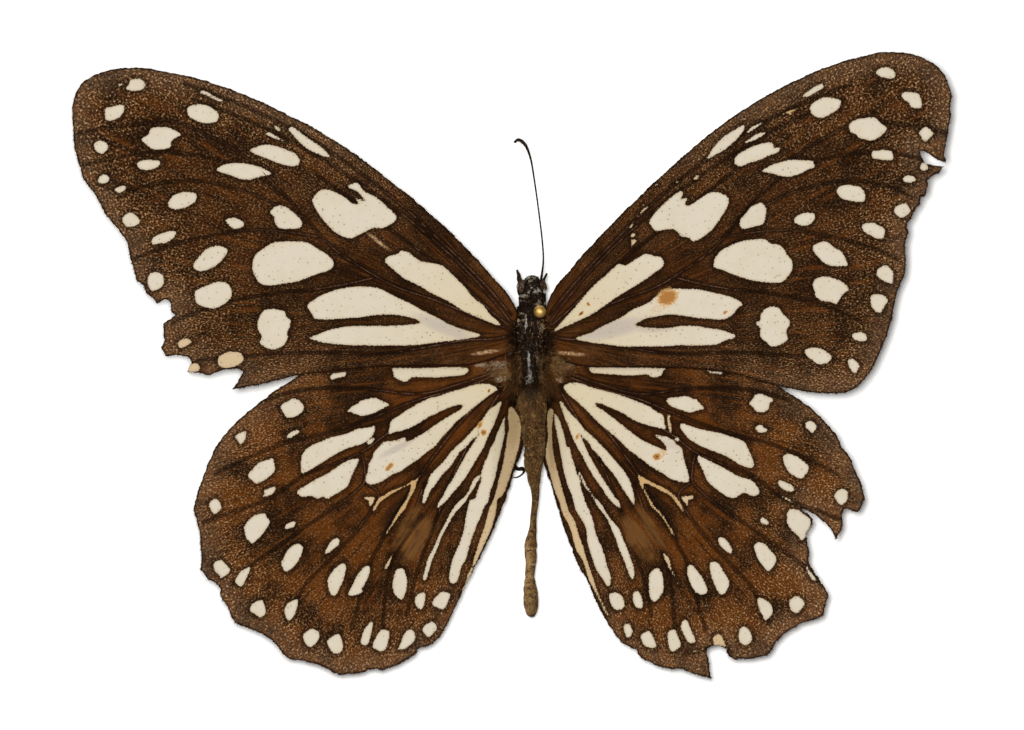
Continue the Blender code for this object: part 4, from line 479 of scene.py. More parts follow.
WINGS = {
    "forewing_left": (FORE_LEFT_MARKS, FORE_VEINS, LEFT_FORE_SHADES),
    "forewing_right": (FORE_RIGHT_MARKS, FORE_VEINS, RIGHT_FORE_SHADES),
    "hindwing_left": (HIND_LEFT_MARKS, HIND_VEINS, LEFT_HIND_SHADES),
    "hindwing_right": (HIND_RIGHT_MARKS, HIND_VEINS, RIGHT_HIND_SHADES)}
ROOT_Y = {"fore": 3.0, "hind": 0.0}

# Thorax, neck and abdomen: y, centre x, centre z and half width along each. Tallness is the half height
# as a share of the half width.
THORAX_STATIONS = (
    (6.1, 1.95, 2.5, 0.7), (5.9, 1.95, 2.5, 1.25), (5.3, 1.95, 2.5, 1.5), (4.2, 1.9, 2.5, 1.62),
    (2.6, 1.85, 2.5, 1.75), (0.8, 1.85, 2.5, 1.78), (-0.8, 1.85, 2.5, 1.6), (-1.9, 1.85, 2.5, 1.25),
    (-2.45, 1.85, 2.5, 0.6))
THORAX_TALLNESS = 1.6
THORAX_STEPS = 14
NECK_STATIONS = (
    (5.2, 1.95, 3.1, 0.9), (5.6, 1.96, 3.15, 1.25), (6.1, 1.98, 3.25, 1.33), (6.6, 2.0, 3.35, 1.32),
    (7.1, 1.98, 3.45, 1.22), (7.5, 1.95, 3.5, 0.8))
NECK_TALLNESS = 0.95
ABDOMEN_STATIONS = (
    (-1.6, 1.88, 3.0, 0.5), (-2.1, 1.88, 3.25, 0.95), (-2.8, 1.9, 3.6, 1.25), (-3.6, 2.0, 3.95, 1.3),
    (-4.5, 2.1, 4.1, 1.26), (-6.0, 2.1, 4.05, 1.2), (-7.6, 2.08, 3.95, 1.08), (-9.2, 2.12, 3.8, 0.98),
    (-10.9, 2.17, 3.55, 0.66), (-12.6, 2.28, 3.25, 0.36), (-14.3, 2.12, 2.95, 0.32), (-15.8, 2.02, 2.7, 0.36),
    (-17.3, 1.8, 2.5, 0.62), (-18.7, 1.83, 2.35, 0.54), (-20.2, 1.74, 2.2, 0.51), (-21.4, 1.8, 2.1, 0.63),
    (-22.9, 1.82, 2.0, 0.71), (-23.9, 1.9, 1.9, 0.58), (-24.35, 2.0, 1.85, 0.2))
ABDOMEN_TALLNESS = 1.05
ABDOMEN_RINGS = (-5.6, -7.2, -8.9, -10.4, -11.8, -17.75, -19.25, -20.5, -21.15)
RING_WIDTH = 0.13
RING_PINCH = 0.07
SEAM_WIDTH = 0.12
SEAM_TONE = 0.35
SIDE_TONE = 0.3
SHRIVELLED_Y = -12  # the sides are paler in front of here
TAIL_Y = -15  # the left and the seams are paler behind here
ABDOMEN_TONES = (  # how far behind the wings' roots, and the tone there
    (2.4, 0.0), (4.2, 0.2), (11, 0.25), (16, 0.4), (18, 0.6), (21, 0.6), (22, 0.75), (24, 0.55), (24.3, 0.1))

# Head, its brow and the eyes
HEAD_CENTRE = (1.95, 7.55, 3.55)
HEAD_SIZE = (1.12, 1.12, 1.15)
BROW_CENTRE = (1.95, 8.35, 3.45)
BROW_SIZE = (0.72, 0.42, 0.75)
EYES = {"eye_left": (1.12, 7.7, 3.6), "eye_right": (2.74, 7.7, 3.6)}
EYE_SIZE = (0.66, 0.68, 0.72)

# Palps and antenna: x, y, z and radius
PALPS = {
    "palp_left": ((0.85, 8.1, 3.35, 0.26), (0.7, 8.45, 3.4, 0.24), (0.66, 8.8, 3.5, 0.18),
                  (0.54, 9.15, 3.6, 0.13), (0.49, 9.36, 3.64, 0.09)),
    "palp_right": ((3.02, 8.2, 3.35, 0.18), (3.14, 8.5, 3.4, 0.12), (3.28, 8.75, 3.5, 0.11),
                   (3.38, 9.0, 3.6, 0.09))}
ANTENNA_ROUTE = (
    (2.82, 8.35, 3.9, 0.14), (2.88, 8.75, 4.15, 0.12), (3.04, 10.2, 4.6, 0.085), (2.96, 11.9, 4.95, 0.08),
    (2.7, 14.2, 5.3, 0.08), (2.41, 16.4, 5.5, 0.08), (2.1, 18.5, 5.6, 0.085), (1.83, 20.05, 5.65, 0.1),
    (1.42, 21.25, 5.65, 0.14), (0.97, 21.8, 5.6, 0.17), (0.57, 21.95, 5.55, 0.16), (0.22, 21.7, 5.5, 0.12))
PROBOSCIS_TURNS = 1.75
PROBOSCIS_OUTER = 0.75
PROBOSCIS_PITCH = 0.34
PROBOSCIS_RADIUS = 0.1
PROBOSCIS_CENTRE = (1.92, 8.1, 1.35)

# Legs, from the body to the claw
FORELEG_ROUTE = (
    (0.95, 6.55, 1.2, 0.15), (0.66, 7.25, 1.5, 0.15), (0.75, 7.95, 1.2, 0.12), (1.05, 8.3, 0.75, 0.08))
MIDLEG_ROUTE = (
    (-0.35, 2.0, 0.95, 0.24), (-1.5, 1.7, 1.85, 0.26), (-2.7, 0.9, 2.3, 0.22), (-3.7, -0.8, 1.5, 0.19),
    (-4.6, -2.5, 0.55, 0.16), (-5.2, -4.1, 0.18, 0.13), (-5.6, -5.6, 0.13, 0.1))
HINDLEG_LEFT_ROUTE = (
    (-0.2, -0.7, 0.95, 0.24), (-1.4, -1.8, 1.7, 0.26), (-2.2, -3.3, 2.0, 0.22), (-1.6, -5.4, 1.35, 0.19),
    (-0.7, -7.6, 0.6, 0.16), (0.0, -9.3, 0.22, 0.16), (0.5, -9.95, 0.2, 0.19), (1.02, -9.98, 0.19, 0.19),
    (1.16, -10.25, 0.15, 0.12), (0.9, -10.58, 0.13, 0.08), (0.5, -10.8, 0.12, 0.07),
    (0.1, -10.84, 0.12, 0.05))
HINDLEG_RIGHT_ROUTE = (
    (3.9, -0.7, 0.95, 0.24), (5.1, -1.8, 1.7, 0.26), (5.9, -3.3, 2.0, 0.22), (5.7, -5.4, 1.3, 0.19),
    (5.5, -7.4, 0.55, 0.16), (5.5, -8.8, 0.18, 0.13), (5.6, -10.2, 0.13, 0.1))


def mirrored(route):
    """A route's mirror image across the body's midline."""
    return tuple((2 * MIDLINE_X - x, y, z, radius) for x, y, z, radius in route)


LEGS = {
    "foreleg_left": FORELEG_ROUTE,
    "foreleg_right": mirrored(FORELEG_ROUTE),
    "midleg_left": MIDLEG_ROUTE,
    "midleg_right": mirrored(MIDLEG_ROUTE),
    "hindleg_left": HINDLEG_LEFT_ROUTE,
    "hindleg_right": HINDLEG_RIGHT_ROUTE}

# Hair on the body: middle x and y, spread in x and y, how many, length, way in degrees, lift and tone
TUFTS = (
    (1.47, 4.1, 0.045, 0.4, 260, 0.35, 270, 0.2, 1.0), (1.75, 1.65, 0.07, 0.13, 70, 0.3, 270, 0.2, 1.0),
    (1.75, 0.55, 0.06, 0.42, 340, 0.35, 270, 0.2, 1.0), (1.72, -1.45, 0.14, 0.36, 220, 0.35, 270, 0.25, 1.0),
    (1.7, -2.7, 0.14, 0.5, 110, 0.35, 270, 0.1, 0.85), (1.3, 4.55, 0.3, 0.05, 14, 0.24, 220, 0.1, 0.76),
    (0.62, 4.55, 0.04, 0.24, 18, 0.3, 265, 0.1, 0.8), (0.94, 5.15, 0.2, 0.05, 26, 0.25, 200, 0.1, 0.75),
    (1.92, 5.22, 0.07, 0.1, 40, 0.25, 270, 0.1, 1.0), (2.05, 4.6, 0.07, 0.14, 26, 0.3, 280, 0.1, 0.85),
    (2.95, 3.85, 0.14, 0.2, 30, 0.28, 280, 0.2, 0.74), (2.45, 1.3, 0.1, 0.6, 70, 0.4, 270, 0.1, 0.68),
    (2.75, -0.6, 0.07, 0.7, 70, 0.45, 270, 0.1, 0.6), (0.85, -0.8, 0.06, 0.7, 70, 0.45, 268, 0.1, 0.6),
    (1.22, 6.82, 0.24, 0.07, 60, 0.28, 220, 0.1, 0.82), (1.95, 6.78, 0.08, 0.1, 28, 0.25, 300, 0.1, 0.82),
    (1.4, 6.4, 0.42, 0.05, 44, 0.22, 270, 0.1, 0.82), (1.96, 5.96, 0.05, 0.05, 14, 0.2, 270, 0.1, 0.85),
    (2.46, 6.15, 0.12, 0.2, 80, 0.45, 290, 0.3, 0.78), (3.12, 6.1, 0.08, 0.1, 30, 0.3, 280, 0.1, 0.78),
    (2.4, 7.4, 0.14, 0.13, 120, 0.25, 270, 0.1, 1.0), (3.12, 7.29, 0.06, 0.1, 60, 0.2, 270, 0.1, 1.0),
    (1.92, 7.82, 0.05, 0.13, 50, 0.22, 270, 0.1, 1.0), (1.66, 7.22, 0.05, 0.05, 16, 0.2, 270, 0.1, 0.95),
    (1.6, 8.55, 0.1, 0.06, 40, 0.22, 90, 0.1, 1.0), (1.72, 8.2, 0.1, 0.05, 20, 0.22, 60, 0.1, 0.85),
    (2.19, 8.5, 0.1, 0.08, 26, 0.22, 90, 0.1, 0.8), (1.95, 8.58, 0.42, 0.07, 90, 0.24, 90, 0.3, 0.24),
    (0.55, 7.85, 0.04, 0.22, 30, 0.16, 210, 0.1, 0.9), (2.3, 7.3, 0.5, 0.55, 330, 0.3, 270, 0.3, 0.1),
    (2.95, 7.9, 0.2, 0.35, 60, 0.25, 300, 0.2, 0.12), (1.95, 6.3, 0.85, 0.4, 420, 0.45, 270, 0.35, 0.08),
    (0.0, 3.7, 0.22, 0.7, 90, 0.55, 150, 0.1, 0.36), (3.7, 3.5, 0.22, 0.7, 90, 0.55, 30, 0.1, 0.36),
    (0.25, 3.0, 0.16, 0.6, 180, 0.5, 200, 0.15, 0.05), (3.5, 2.4, 0.16, 0.7, 180, 0.5, 340, 0.15, 0.05),
    (-0.1, 1.7, 0.25, 0.5, 90, 0.5, 180, 0.08, 0.36), (3.8, 1.7, 0.25, 0.5, 90, 0.5, 0, 0.08, 0.36),
    (1.2, 4.7, 0.45, 0.35, 44, 0.2, 250, 0.2, 0.66), (2.6, 3.9, 0.4, 0.4, 60, 0.22, 290, 0.2, 0.66),
    (0.75, -0.6, 0.16, 0.9, 240, 0.5, 268, 0.1, 0.42), (2.95, -0.6, 0.16, 0.9, 240, 0.5, 272, 0.1, 0.42),
    (0.3, 0.0, 0.2, 0.7, 200, 0.5, 240, 0.1, 0.3), (3.4, 0.0, 0.2, 0.7, 200, 0.5, 300, 0.1, 0.3),
    (-1.3, 0.15, 0.5, 0.22, 110, 0.4, 190, 0.04, 0.8), (-1.3, -0.4, 0.6, 0.4, 260, 0.45, 200, 0.06, 0.5),
    (-2.9, 0.1, 0.3, 0.08, 30, 0.4, 178, 0.02, 0.85), (-0.7, -0.7, 0.35, 0.5, 240, 0.5, 215, 0.06, 0.56),
    (-1.2, -1.2, 0.3, 0.1, 30, 0.35, 220, 0.02, 0.9), (4.6, -0.1, 0.6, 0.45, 300, 0.45, 330, 0.06, 0.55),
    (4.7, -0.4, 0.6, 0.5, 260, 0.5, 340, 0.06, 0.36), (4.5, -1.3, 0.22, 0.12, 44, 0.35, 320, 0.02, 0.74),
    (4.1, 0.3, 0.3, 0.5, 160, 0.7, 0, 0.05, 0.5), (5.6, 0.1, 0.5, 0.15, 50, 0.6, 5, 0.02, 0.68),
    (1.85, 3.2, 0.8, 1.4, 150, 0.16, 270, 0.1, 0.72), (2.0, 6.9, 0.75, 0.9, 110, 0.15, 270, 0.05, 0.72),
    (1.85, -1.7, 0.6, 0.2, 300, 0.8, 270, 0.5, 0.1), (1.85, -2.2, 0.6, 0.3, 340, 0.7, 270, 0.5, 0.36),
    (1.8, -2.8, 0.65, 0.4, 420, 0.6, 270, 0.25, 0.46), (1.95, -3.5, 0.7, 0.5, 300, 0.4, 270, 0.15, 0.32),
    (0.15, -2.0, 0.35, 0.5, 300, 0.9, 240, 0.1, 0.3), (3.6, -2.0, 0.35, 0.5, 300, 0.9, 300, 0.1, 0.3),
    (0.3, -3.0, 0.22, 0.4, 260, 0.7, 255, 0.0, 0.02), (3.45, -3.1, 0.2, 0.45, 280, 0.7, 285, 0.0, 0.02),
    (0.95, -3.3, 0.22, 0.7, 320, 0.8, 265, 0.05, 0.5), (2.75, -3.0, 0.25, 0.7, 280, 0.8, 272, 0.05, 0.42),
    (2.1, -6.2, 0.62, 2.0, 800, 0.17, 270, 0.12, 0.5), (2.1, -6.2, 0.65, 2.0, 800, 0.2, 270, 0.12, 0.14),
    (2.15, -10.2, 0.42, 1.2, 320, 0.18, 270, 0.1, 0.5))
THORAX_HAIRS = 6400
WING_NAP = 0.2  # how far above a wing's middle surface the hair on its base is rooted
HAIR_RADIUS = 0.024  # about twice a real hair scale, so that it shows

THORAX_HAIR_Y = (-2.3, 6.0)
THORAX_HAIR_LENGTHS = (0.3, 0.75)
THORAX_HAIR_DEPTH = 0.97  # where on the thorax's radius a hair is rooted
LOWEST_HAIR = 0.2
TUFT_DEPTH = 0.02
HAIR_DROOP = 0.12
WING_BASES_Y = (-3.6, 4.6)  # between these, hair is also rooted on the wings
WING_PARTING_Y = 0.5  # forewings in front of here, hindwings behind it
NOWHERE = -9.0  # height where no surface is

# Pin, and z and the share of its radius from the clipped end to the collar under the head
PIN_X = 2.7
PIN_Y = 5.28
PIN_RADIUS = 0.22
PIN_PROFILE = (
    (0.4, 0.25), (0.55, 0.75), (2.0, 0.8), (6.55, 0.8), (6.62, 1.1), (6.74, 1.25), (6.8, 1.1), (6.9, 1.2),
    (7.1, 1.2))
PIN_HEAD_RADIUS = 0.62
PIN_HEAD_Z = 7.6
PIN_FLAT_FROM = 0.42  # height over the bead's middle
PIN_FLAT_SHARE = 0.3

# Studio: each light's place and side in metres and its power in watts, and the floor's side in metres
LIGHTS = {
    "soft_box_above": ((-0.04, 0.05, 1.15), 0.17, 12.6),
    "soft_box_side": ((-0.6, 0.45, 0.85), 0.4, 2.2)}
SURROUND_STRENGTH = 0.36
FLOOR_SIDE = 4.0


def closed_curve(points, steps=3):
    """Catmull-Rom curve through a closed loop of points: each stretch is a cubic that leaves a point in
    the direction from the one before it to the one after it."""
    before, after, second = (np.roll(points, shift, axis=0) for shift in (1, -1, -2))
    t = (np.arange(steps) / steps)[None, :, None]
    a, b, c, d = (row[:, None, :] for row in (before, points, after, second))
    curve = 0.5 * (2 * b + (c - a) * t + (2 * a - 5 * b + 4 * c - d) * t ** 2
                   + (3 * b - a - 3 * c + d) * t ** 3)
    return curve.reshape(-1, points.shape[1])


def open_curve(points, steps=6):
    """Catmull-Rom curve through an open row of points, whose ends are carried straight on."""
    points = np.array(points, float)
    padded = np.vstack((2 * points[:1] - points[1:2], points, 2 * points[-1:] - points[-2:-1]))
    t = (np.arange(steps) / steps)[None, :, None]
    a, b, c, d = (padded[start:len(padded) - 3 + start, None, :] for start in range(4))
    curve = 0.5 * (2 * b + (c - a) * t + (2 * a - 5 * b + 4 * c - d) * t ** 2
                   + (3 * b - a - 3 * c + d) * t ** 3)
    return np.vstack((curve.reshape(-1, points.shape[1]), points[-1:]))


def nearest_on(x, y, line, closed):
    """Distance from each point to a line of points, and the nearest place on it: the foot of the
    perpendicular on each stretch, held within the stretch, and the closest of them all."""
    best = np.full(x.shape, np.inf)
    foot = np.stack((x, y), axis=-1)
    ends = np.roll(line, -1, axis=0) if closed else line[1:]
    for (x0, y0), (x1, y1) in zip(line, ends):
        run_x, run_y = x1 - x0, y1 - y0
        length = max(run_x ** 2 + run_y ** 2, 1e-12)
        share = np.clip(((x - x0) * run_x + (y - y0) * run_y) / length, 0, 1)
        at_x, at_y = x0 + share * run_x, y0 + share * run_y
        gap = np.hypot(x - at_x, y - at_y)
        closer = gap < best
        best = np.where(closer, gap, best)
        foot[closer] = np.stack((at_x, at_y), axis=-1)[closer]
    return best, foot


def inside(x, y, loop):
    """Even-odd rule: a point is inside where a ray to its right crosses the loop an odd number of times."""
    within = np.zeros(x.shape, bool)
    for (x0, y0), (x1, y1) in zip(loop, np.roll(loop, -1, axis=0)):
        if y0 != y1:
            spans = (y0 > y) != (y1 > y)
            within ^= spans & (x < x0 + (y - y0) * (x1 - x0) / (y1 - y0))
    return within


def smoothstep(value):
    """Ease from 0 to 1, held at both ends."""
    value = np.clip(value, 0.0, 1.0)
    return value * value * (3.0 - 2.0 * value)


def waves(x, y, length, seed, count=9):
    """Smooth random relief, mostly between -1 and 1: a sum of sine waves of about one length in random
    directions."""
    draw = np.random.default_rng(seed)
    turn, shift = draw.uniform(0, 2 * np.pi, (2, count))
    pitch = 2 * np.pi / (length * draw.uniform(0.7, 1.5, count))
    total = sum(np.sin(k * (x * np.cos(a) + y * np.sin(a)) + s) for a, s, k in zip(turn, shift, pitch))
    return total / np.sqrt(count / 2) / 2


def wing_level(x, y):
    """Height that both pairs of wings share: a slight rise outwards with an arch along the span."""
    outward = np.abs(x - MIDLINE_X)
    droop = REAR_DROOP * np.minimum(y, 0.0)
    return WING_RISE * outward + WING_ARCH * np.sin(np.pi * np.minimum(outward / HALF_SPAN, 1.0)) + droop


def forewing_height(x, y):
    """Middle surface of a forewing."""
    return FORE_ROOT_Z + wing_level(x, y)


def hindwing_height(x, y):
    """Middle surface of a hindwing, whose inner edge folds down below the abdomen."""
    outward = np.abs(x - MIDLINE_X)
    across = 1.0 - smoothstep((outward - FOLD_INNER) / (FOLD_OUTER - FOLD_INNER))
    along = smoothstep((FOLD_START_Y - y) / (FOLD_START_Y - FOLD_FULL_Y))
    return HIND_ROOT_Z + wing_level(x, y) - FOLD_DEPTH * across * along


WING_HEIGHTS = {"fore": forewing_height, "hind": hindwing_height}


def solid_outline(node):
    """The rim of a wing's solid, seen from above, as a closed loop in mm: the edges that only one of its
    upward faces has, followed from corner to corner."""
    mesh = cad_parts[node].data
    places = np.zeros(len(mesh.vertices) * 3)
    mesh.vertices.foreach_get("co", places)
    corners = np.zeros(len(mesh.loops), int)
    mesh.loops.foreach_get("vertex_index", corners)
    triangles = corners.reshape(-1, 3)
    places, same = np.unique(np.round(places.reshape(-1, 3) / MM, 4), axis=0, return_inverse=True)
    triangles = same.reshape(-1)[triangles]
    first, second, third = (places[triangles[:, corner]] for corner in range(3))
    normal = np.cross(second - first, third - first)
    upward = triangles[normal[:, 2] > 0.5 * np.linalg.norm(normal, axis=1)]
    edges = np.vstack((upward[:, (0, 1)], upward[:, (1, 2)], upward[:, (2, 0)]))
    size = len(places)
    lone = edges[~np.isin(edges[:, 0] * size + edges[:, 1], edges[:, 1] * size + edges[:, 0])]
    following = dict(lone.tolist())
    loop = [lone[0, 0]]
    while following[loop[-1]] != loop[0]:
        loop.append(following[loop[-1]])
    return places[loop, :2]


def worn_edge(loop, seed, step=0.12, depth=0.07):
    """A loop in short even steps, each pushed sideways by fine random waves, as worn fringe scales leave
    a wing's edge. The waves are 1.1 and 0.4 mm long, and push inwards more than outwards."""
    closed = np.vstack((loop, loop[:1]))
    along = np.concatenate(([0], np.cumsum(np.linalg.norm(np.diff(closed, axis=0), axis=1))))
    at = np.arange(0, along[-1], step)
    points = np.stack((np.interp(at, along, closed[:, 0]), np.interp(at, along, closed[:, 1])), axis=1)
    forward = np.roll(points, -1, axis=0) - np.roll(points, 1, axis=0)
    side = np.stack((forward[:, 1], -forward[:, 0]), axis=1) / np.linalg.norm(forward, axis=1)[:, None]
    push = depth * (0.6 * waves(at, 0 * at, 1.1, seed) + 0.6 * waves(at, 0 * at, 0.4, seed + 1) - 0.3)
    return points + side * push[:, None]


def fill_corners(cells):
    """Add a cell wherever two cells touch at a corner alone, so that the sheet's edge never meets itself."""
    while True:
        a, b, c, d = cells[:-1, :-1], cells[:-1, 1:], cells[1:, :-1], cells[1:, 1:]
        lone = (a & d & ~b & ~c) | (b & c & ~a & ~d)
        if not lone.any():
            return cells
        a |= lone
        b |= lone


def marks_over(x, y, marks):
    """For each point, how far it is outside the nearest mark, less than 0 inside, and that mark's tone."""
    outside = np.full(x.shape, REACH)
    tone = np.zeros(x.shape)
    for mark in marks:
        outline = closed_curve(np.reshape(mark[1:], (-1, 2)))
        low, high = outline.min(axis=0) - REACH, outline.max(axis=0) + REACH
        near = np.flatnonzero((x > low[0]) & (x < high[0]) & (y > low[1]) & (y < high[1]))
        gap = nearest_on(x[near], y[near], outline, True)[0]
        gap = np.where(inside(x[near], y[near], outline), -gap, gap)
        closer = gap < outside[near]
        outside[near[closer]] = gap[closer]
        tone[near[closer]] = mark[0]
    return outside, tone


def add_piece(name, points, faces, material, nodes=()):
    """Put a mesh in the scene as a piece that rides on the specimen. Points are in mm."""
    mesh = bpy.data.meshes.new(name)
    mesh.from_pydata((points * MM).tolist(), [], [row for part in faces for row in part.tolist()])
    mesh.materials.append(material)
    mesh.shade_smooth()
    piece = bpy.data.objects.new(name, mesh)
    bpy.context.scene.collection.objects.link(piece)
    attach(piece, "root")
    if nodes:
        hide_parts(*nodes)
    return piece


def set_field(piece, name, values):
    """Keep one number for each vertex, for the materials to read."""
    field = piece.data.attributes.new(name, "FLOAT", "POINT")
    field.data.foreach_set("value", np.ascontiguousarray(values, np.float32))


def wing_veins(node, veins):
    """The veins of a wing as smooth lines. A right wing's are mirrored and narrowed to its width."""
    lines = [open_curve(vein) for vein in veins]
    if "right" in node:
        width = RIGHT_WIDTH[node[:4]]
        lines = [line * (-width, 1) + (MIDLINE_X * (1 + width), 0) for line in lines]
    return lines


def soft_shade(x, y, rows):
    """The most of several soft ovals at x and y: strength times e to the minus r to the fourth, where r is
    the distance from the middle in radii."""
    shade = np.zeros_like(x)
    for middle_x, middle_y, long, short, degrees, strength in rows:
        turn = np.radians(degrees)
        along = ((x - middle_x) * np.cos(turn) + (y - middle_y) * np.sin(turn)) / long
        across = ((y - middle_y) * np.cos(turn) - (x - middle_x) * np.sin(turn)) / short
        shade = np.maximum(shade, strength * np.exp(-(along ** 2 + across ** 2) ** 2))
    return shade


def wing_fringe(node, edge, seed, level):
    """The fringe of hair scales round a wing: thin spines from the rim, square to it and leaning at
    random, and shorter along the front."""
    draw = np.random.default_rng(seed + 5)
    ahead = np.roll(edge, -1, axis=0) - edge
    lengths = np.linalg.norm(ahead, axis=1)
    count = int(lengths.sum() * FRINGE_PER_MM)
    place = draw.choice(len(edge), count, p=lengths / lengths.sum())
    roots = edge[place] + ahead[place] * draw.random((count, 1))
    area = np.sum(edge[:, 0] * np.roll(edge[:, 1], -1) - edge[:, 1] * np.roll(edge[:, 0], -1))
    out = np.stack((ahead[place, 1], -ahead[place, 0]), axis=1) / lengths[place, None] * np.sign(area)
    ways = np.column_stack((out + draw.normal(0, 0.35, (count, 2)), draw.normal(0, 0.15, count)))
    lengths = draw.uniform(*FRINGE_LENGTHS, count) * np.where(out[:, 1] > 0.2, FRINGE_FRONT, 1.0)
    roots = np.column_stack((roots - out * FRINGE_ROOT, level(roots[:, 0], roots[:, 1])))
    return hairs(roots, ways, lengths, FRINGE_RADIUS, 0.1, rings=2)


def make_wing(node, seed, marks, veins, shades, material):
    """A wing as a sheet on a square grid: z is a height formula of x and y plus low ripples and a swell
    along each vein. Cells whose middle is inside the worn outline stay, and the corners at the rim move
    to the nearest place on it. The underside repeats the grid, and a strip closes the rim. Veins are
    thin tubes through the sheet, and the rim has a fringe. Fields for the material are kept as mesh
    attributes: distances in mm, and shades from 0 to 1."""
    outline = solid_outline(node)
    edge = worn_edge(outline, seed)
    low = edge.min(axis=0) - CELL
    columns, rows = np.ceil((edge.max(axis=0) + CELL - low) / CELL).astype(int) + 1
    x, y = np.meshgrid(low[0] + CELL * np.arange(columns), low[1] + CELL * np.arange(rows))
    middle_x, middle_y = x[:-1, :-1] + CELL / 2, y[:-1, :-1] + CELL / 2
    cells = fill_corners(inside(middle_x, middle_y, edge))
    padded = np.pad(cells, 1).astype(int)
    beside = padded[:-1, :-1] + padded[:-1, 1:] + padded[1:, :-1] + padded[1:, 1:]
    kept = beside > 0
    number = np.cumsum(kept).reshape(kept.shape) - 1
    count = int(kept.sum())
    x, y, rim = x[kept], y[kept], beside[kept] < 4
    foot = nearest_on(x[rim], y[rim], edge, True)[1]
    x[rim], y[rim] = foot[:, 0], foot[:, 1]
    lines = wing_veins(node, veins)

    def to_veins(x, y):
        return np.min([nearest_on(x, y, line, False)[0] for line in lines], axis=0)

    def level(x, y):
        ripple = (RIPPLE_HEIGHT * waves(x, y, RIPPLE_LENGTH, seed + 2)
                  + FINE_RIPPLE_HEIGHT * waves(x, y, FINE_RIPPLE_LENGTH, seed + 3))
        return WING_HEIGHTS[node[:4]](x, y) + ripple

    to_edge = nearest_on(x, y, outline, True)[0]
    swell = VEIN_HEIGHT * np.exp(-(to_veins(x, y) / VEIN_WIDTH) ** 2)
    middle = level(x, y)
    half = 0.5 * (MEMBRANE_EDGE + (MEMBRANE - MEMBRANE_EDGE) * smoothstep(to_edge / EDGE_TAPER)) + swell
    points = np.vstack((np.stack((x, y, middle + half), axis=1), np.stack((x, y, middle - half), axis=1)))
    r, c = np.nonzero(cells)
    top = np.stack((number[r, c], number[r, c + 1], number[r + 1, c + 1], number[r + 1, c]), axis=1)
    edges = np.vstack([top[:, (i, (i + 1) % 4)] for i in range(4)])
    lone = edges[~np.isin(edges[:, 0] * count + edges[:, 1], edges[:, 1] * count + edges[:, 0])]
    strip = np.stack((lone[:, 1], lone[:, 0], lone[:, 0] + count, lone[:, 1] + count), axis=1)
    parts = [(points, (top, top[:, ::-1] + count, strip))]
    for line in lines:
        line = line[inside(line[:, 0], line[:, 1], edge)]
        thick = VEIN_RADIUS * np.linspace(1.0, VEIN_TIP, len(line))
        thick[[0, -1]] *= 0.3
        parts.append(loft(np.column_stack((line, level(line[:, 0], line[:, 1]))), thick, sides=6))
    tube_count = sum(len(part[0]) for part in parts[1:])
    parts.append(wing_fringe(node, edge, seed, level))
    points, faces = joined(parts)
    piece = add_piece(node + "_scales", points, faces, material, (node,))

    x, y = points[:, 0], points[:, 1]
    top_x, top_y = points[:count, 0], points[:count, 1]
    rest = slice(2 * count, None)
    fields = {}
    fields["mark"], fields["tone"] = (
        np.concatenate((both, both, others))
        for both, others in zip(marks_over(top_x, top_y, marks), marks_over(x[rest], y[rest], marks)))
    fields["vein"] = np.concatenate((*[to_veins(top_x, top_y)] * 2, to_veins(x[rest], y[rest])))
    fields["edge"] = np.concatenate((to_edge, to_edge, nearest_on(x[rest], y[rest], outline, True)[0]))
    ridge = np.zeros(len(points))
    ridge[2 * count:2 * count + tube_count] = 1
    fields["ridge"] = ridge
    fields["edge"][2 * count + tube_count:] = 0
    side = -1 if "left" in node else 1
    reach_x, reach_y = side * (x - MIDLINE_X), y - ROOT_Y[node[:4]]
    fields["along"] = np.hypot(reach_x, reach_y)
    fields["across"] = np.arctan2(reach_y, reach_x) * TURN_RADIUS
    # One of these fields is painted shade on the wing's base beside the body, with a band of dark scales on
    # each hindwing.
    for name in ("painted_shade_and_dark_scales", "veil", "glow", "stain", "brand", "buff"):
        fields[name] = soft_shade(x, y, shades.get(name, ()))
    fields["hind"] = np.full(len(points), float("hind" in node))
    for name, values in fields.items():
        set_field(piece, name, values)


def loft(path, width, height=None, up=(0, 0, 1), sides=20, bumps=None):
    """A closed form carried along a path: at each of its points a ring, an ellipse of that half width and
    half height square to the path, times any bumps, and at each end a pole that closes it."""
    path = np.asarray(path, float)
    width = np.asarray(width, float)
    height = width if height is None else np.asarray(height, float)
    forward = np.gradient(path, axis=0)
    forward /= np.linalg.norm(forward, axis=1)[:, None]
    across = np.cross(forward, np.asarray(up, float))
    across /= np.linalg.norm(across, axis=1)[:, None]
    over = np.cross(across, forward)
    turn = np.linspace(0, 2 * np.pi, sides, endpoint=False)
    reach = np.ones((len(path), sides)) if bumps is None else bumps
    ring = (across[:, None] * (width[:, None] * np.cos(turn) * reach)[:, :, None]
            + over[:, None] * (height[:, None] * np.sin(turn) * reach)[:, :, None])
    body = (path[:, None] + ring).reshape(-1, 3)
    points = np.vstack((body, path[:1], path[-1:]))
    start = (np.arange(len(path) - 1) * sides)[:, None] + np.arange(sides)
    after = (np.arange(len(path) - 1) * sides)[:, None] + (np.arange(sides) + 1) % sides
    walls = np.stack((start, after, after + sides, start + sides), axis=-1).reshape(-1, 4)
    here, there = np.arange(sides), (np.arange(sides) + 1) % sides
    last = (len(path) - 1) * sides
    first_cap = np.stack((there, here, np.full(sides, len(body))), axis=1)
    last_cap = np.stack((last + here, last + there, np.full(sides, len(body) + 1)), axis=1)
    return outward(points, (walls, first_cap, last_cap))


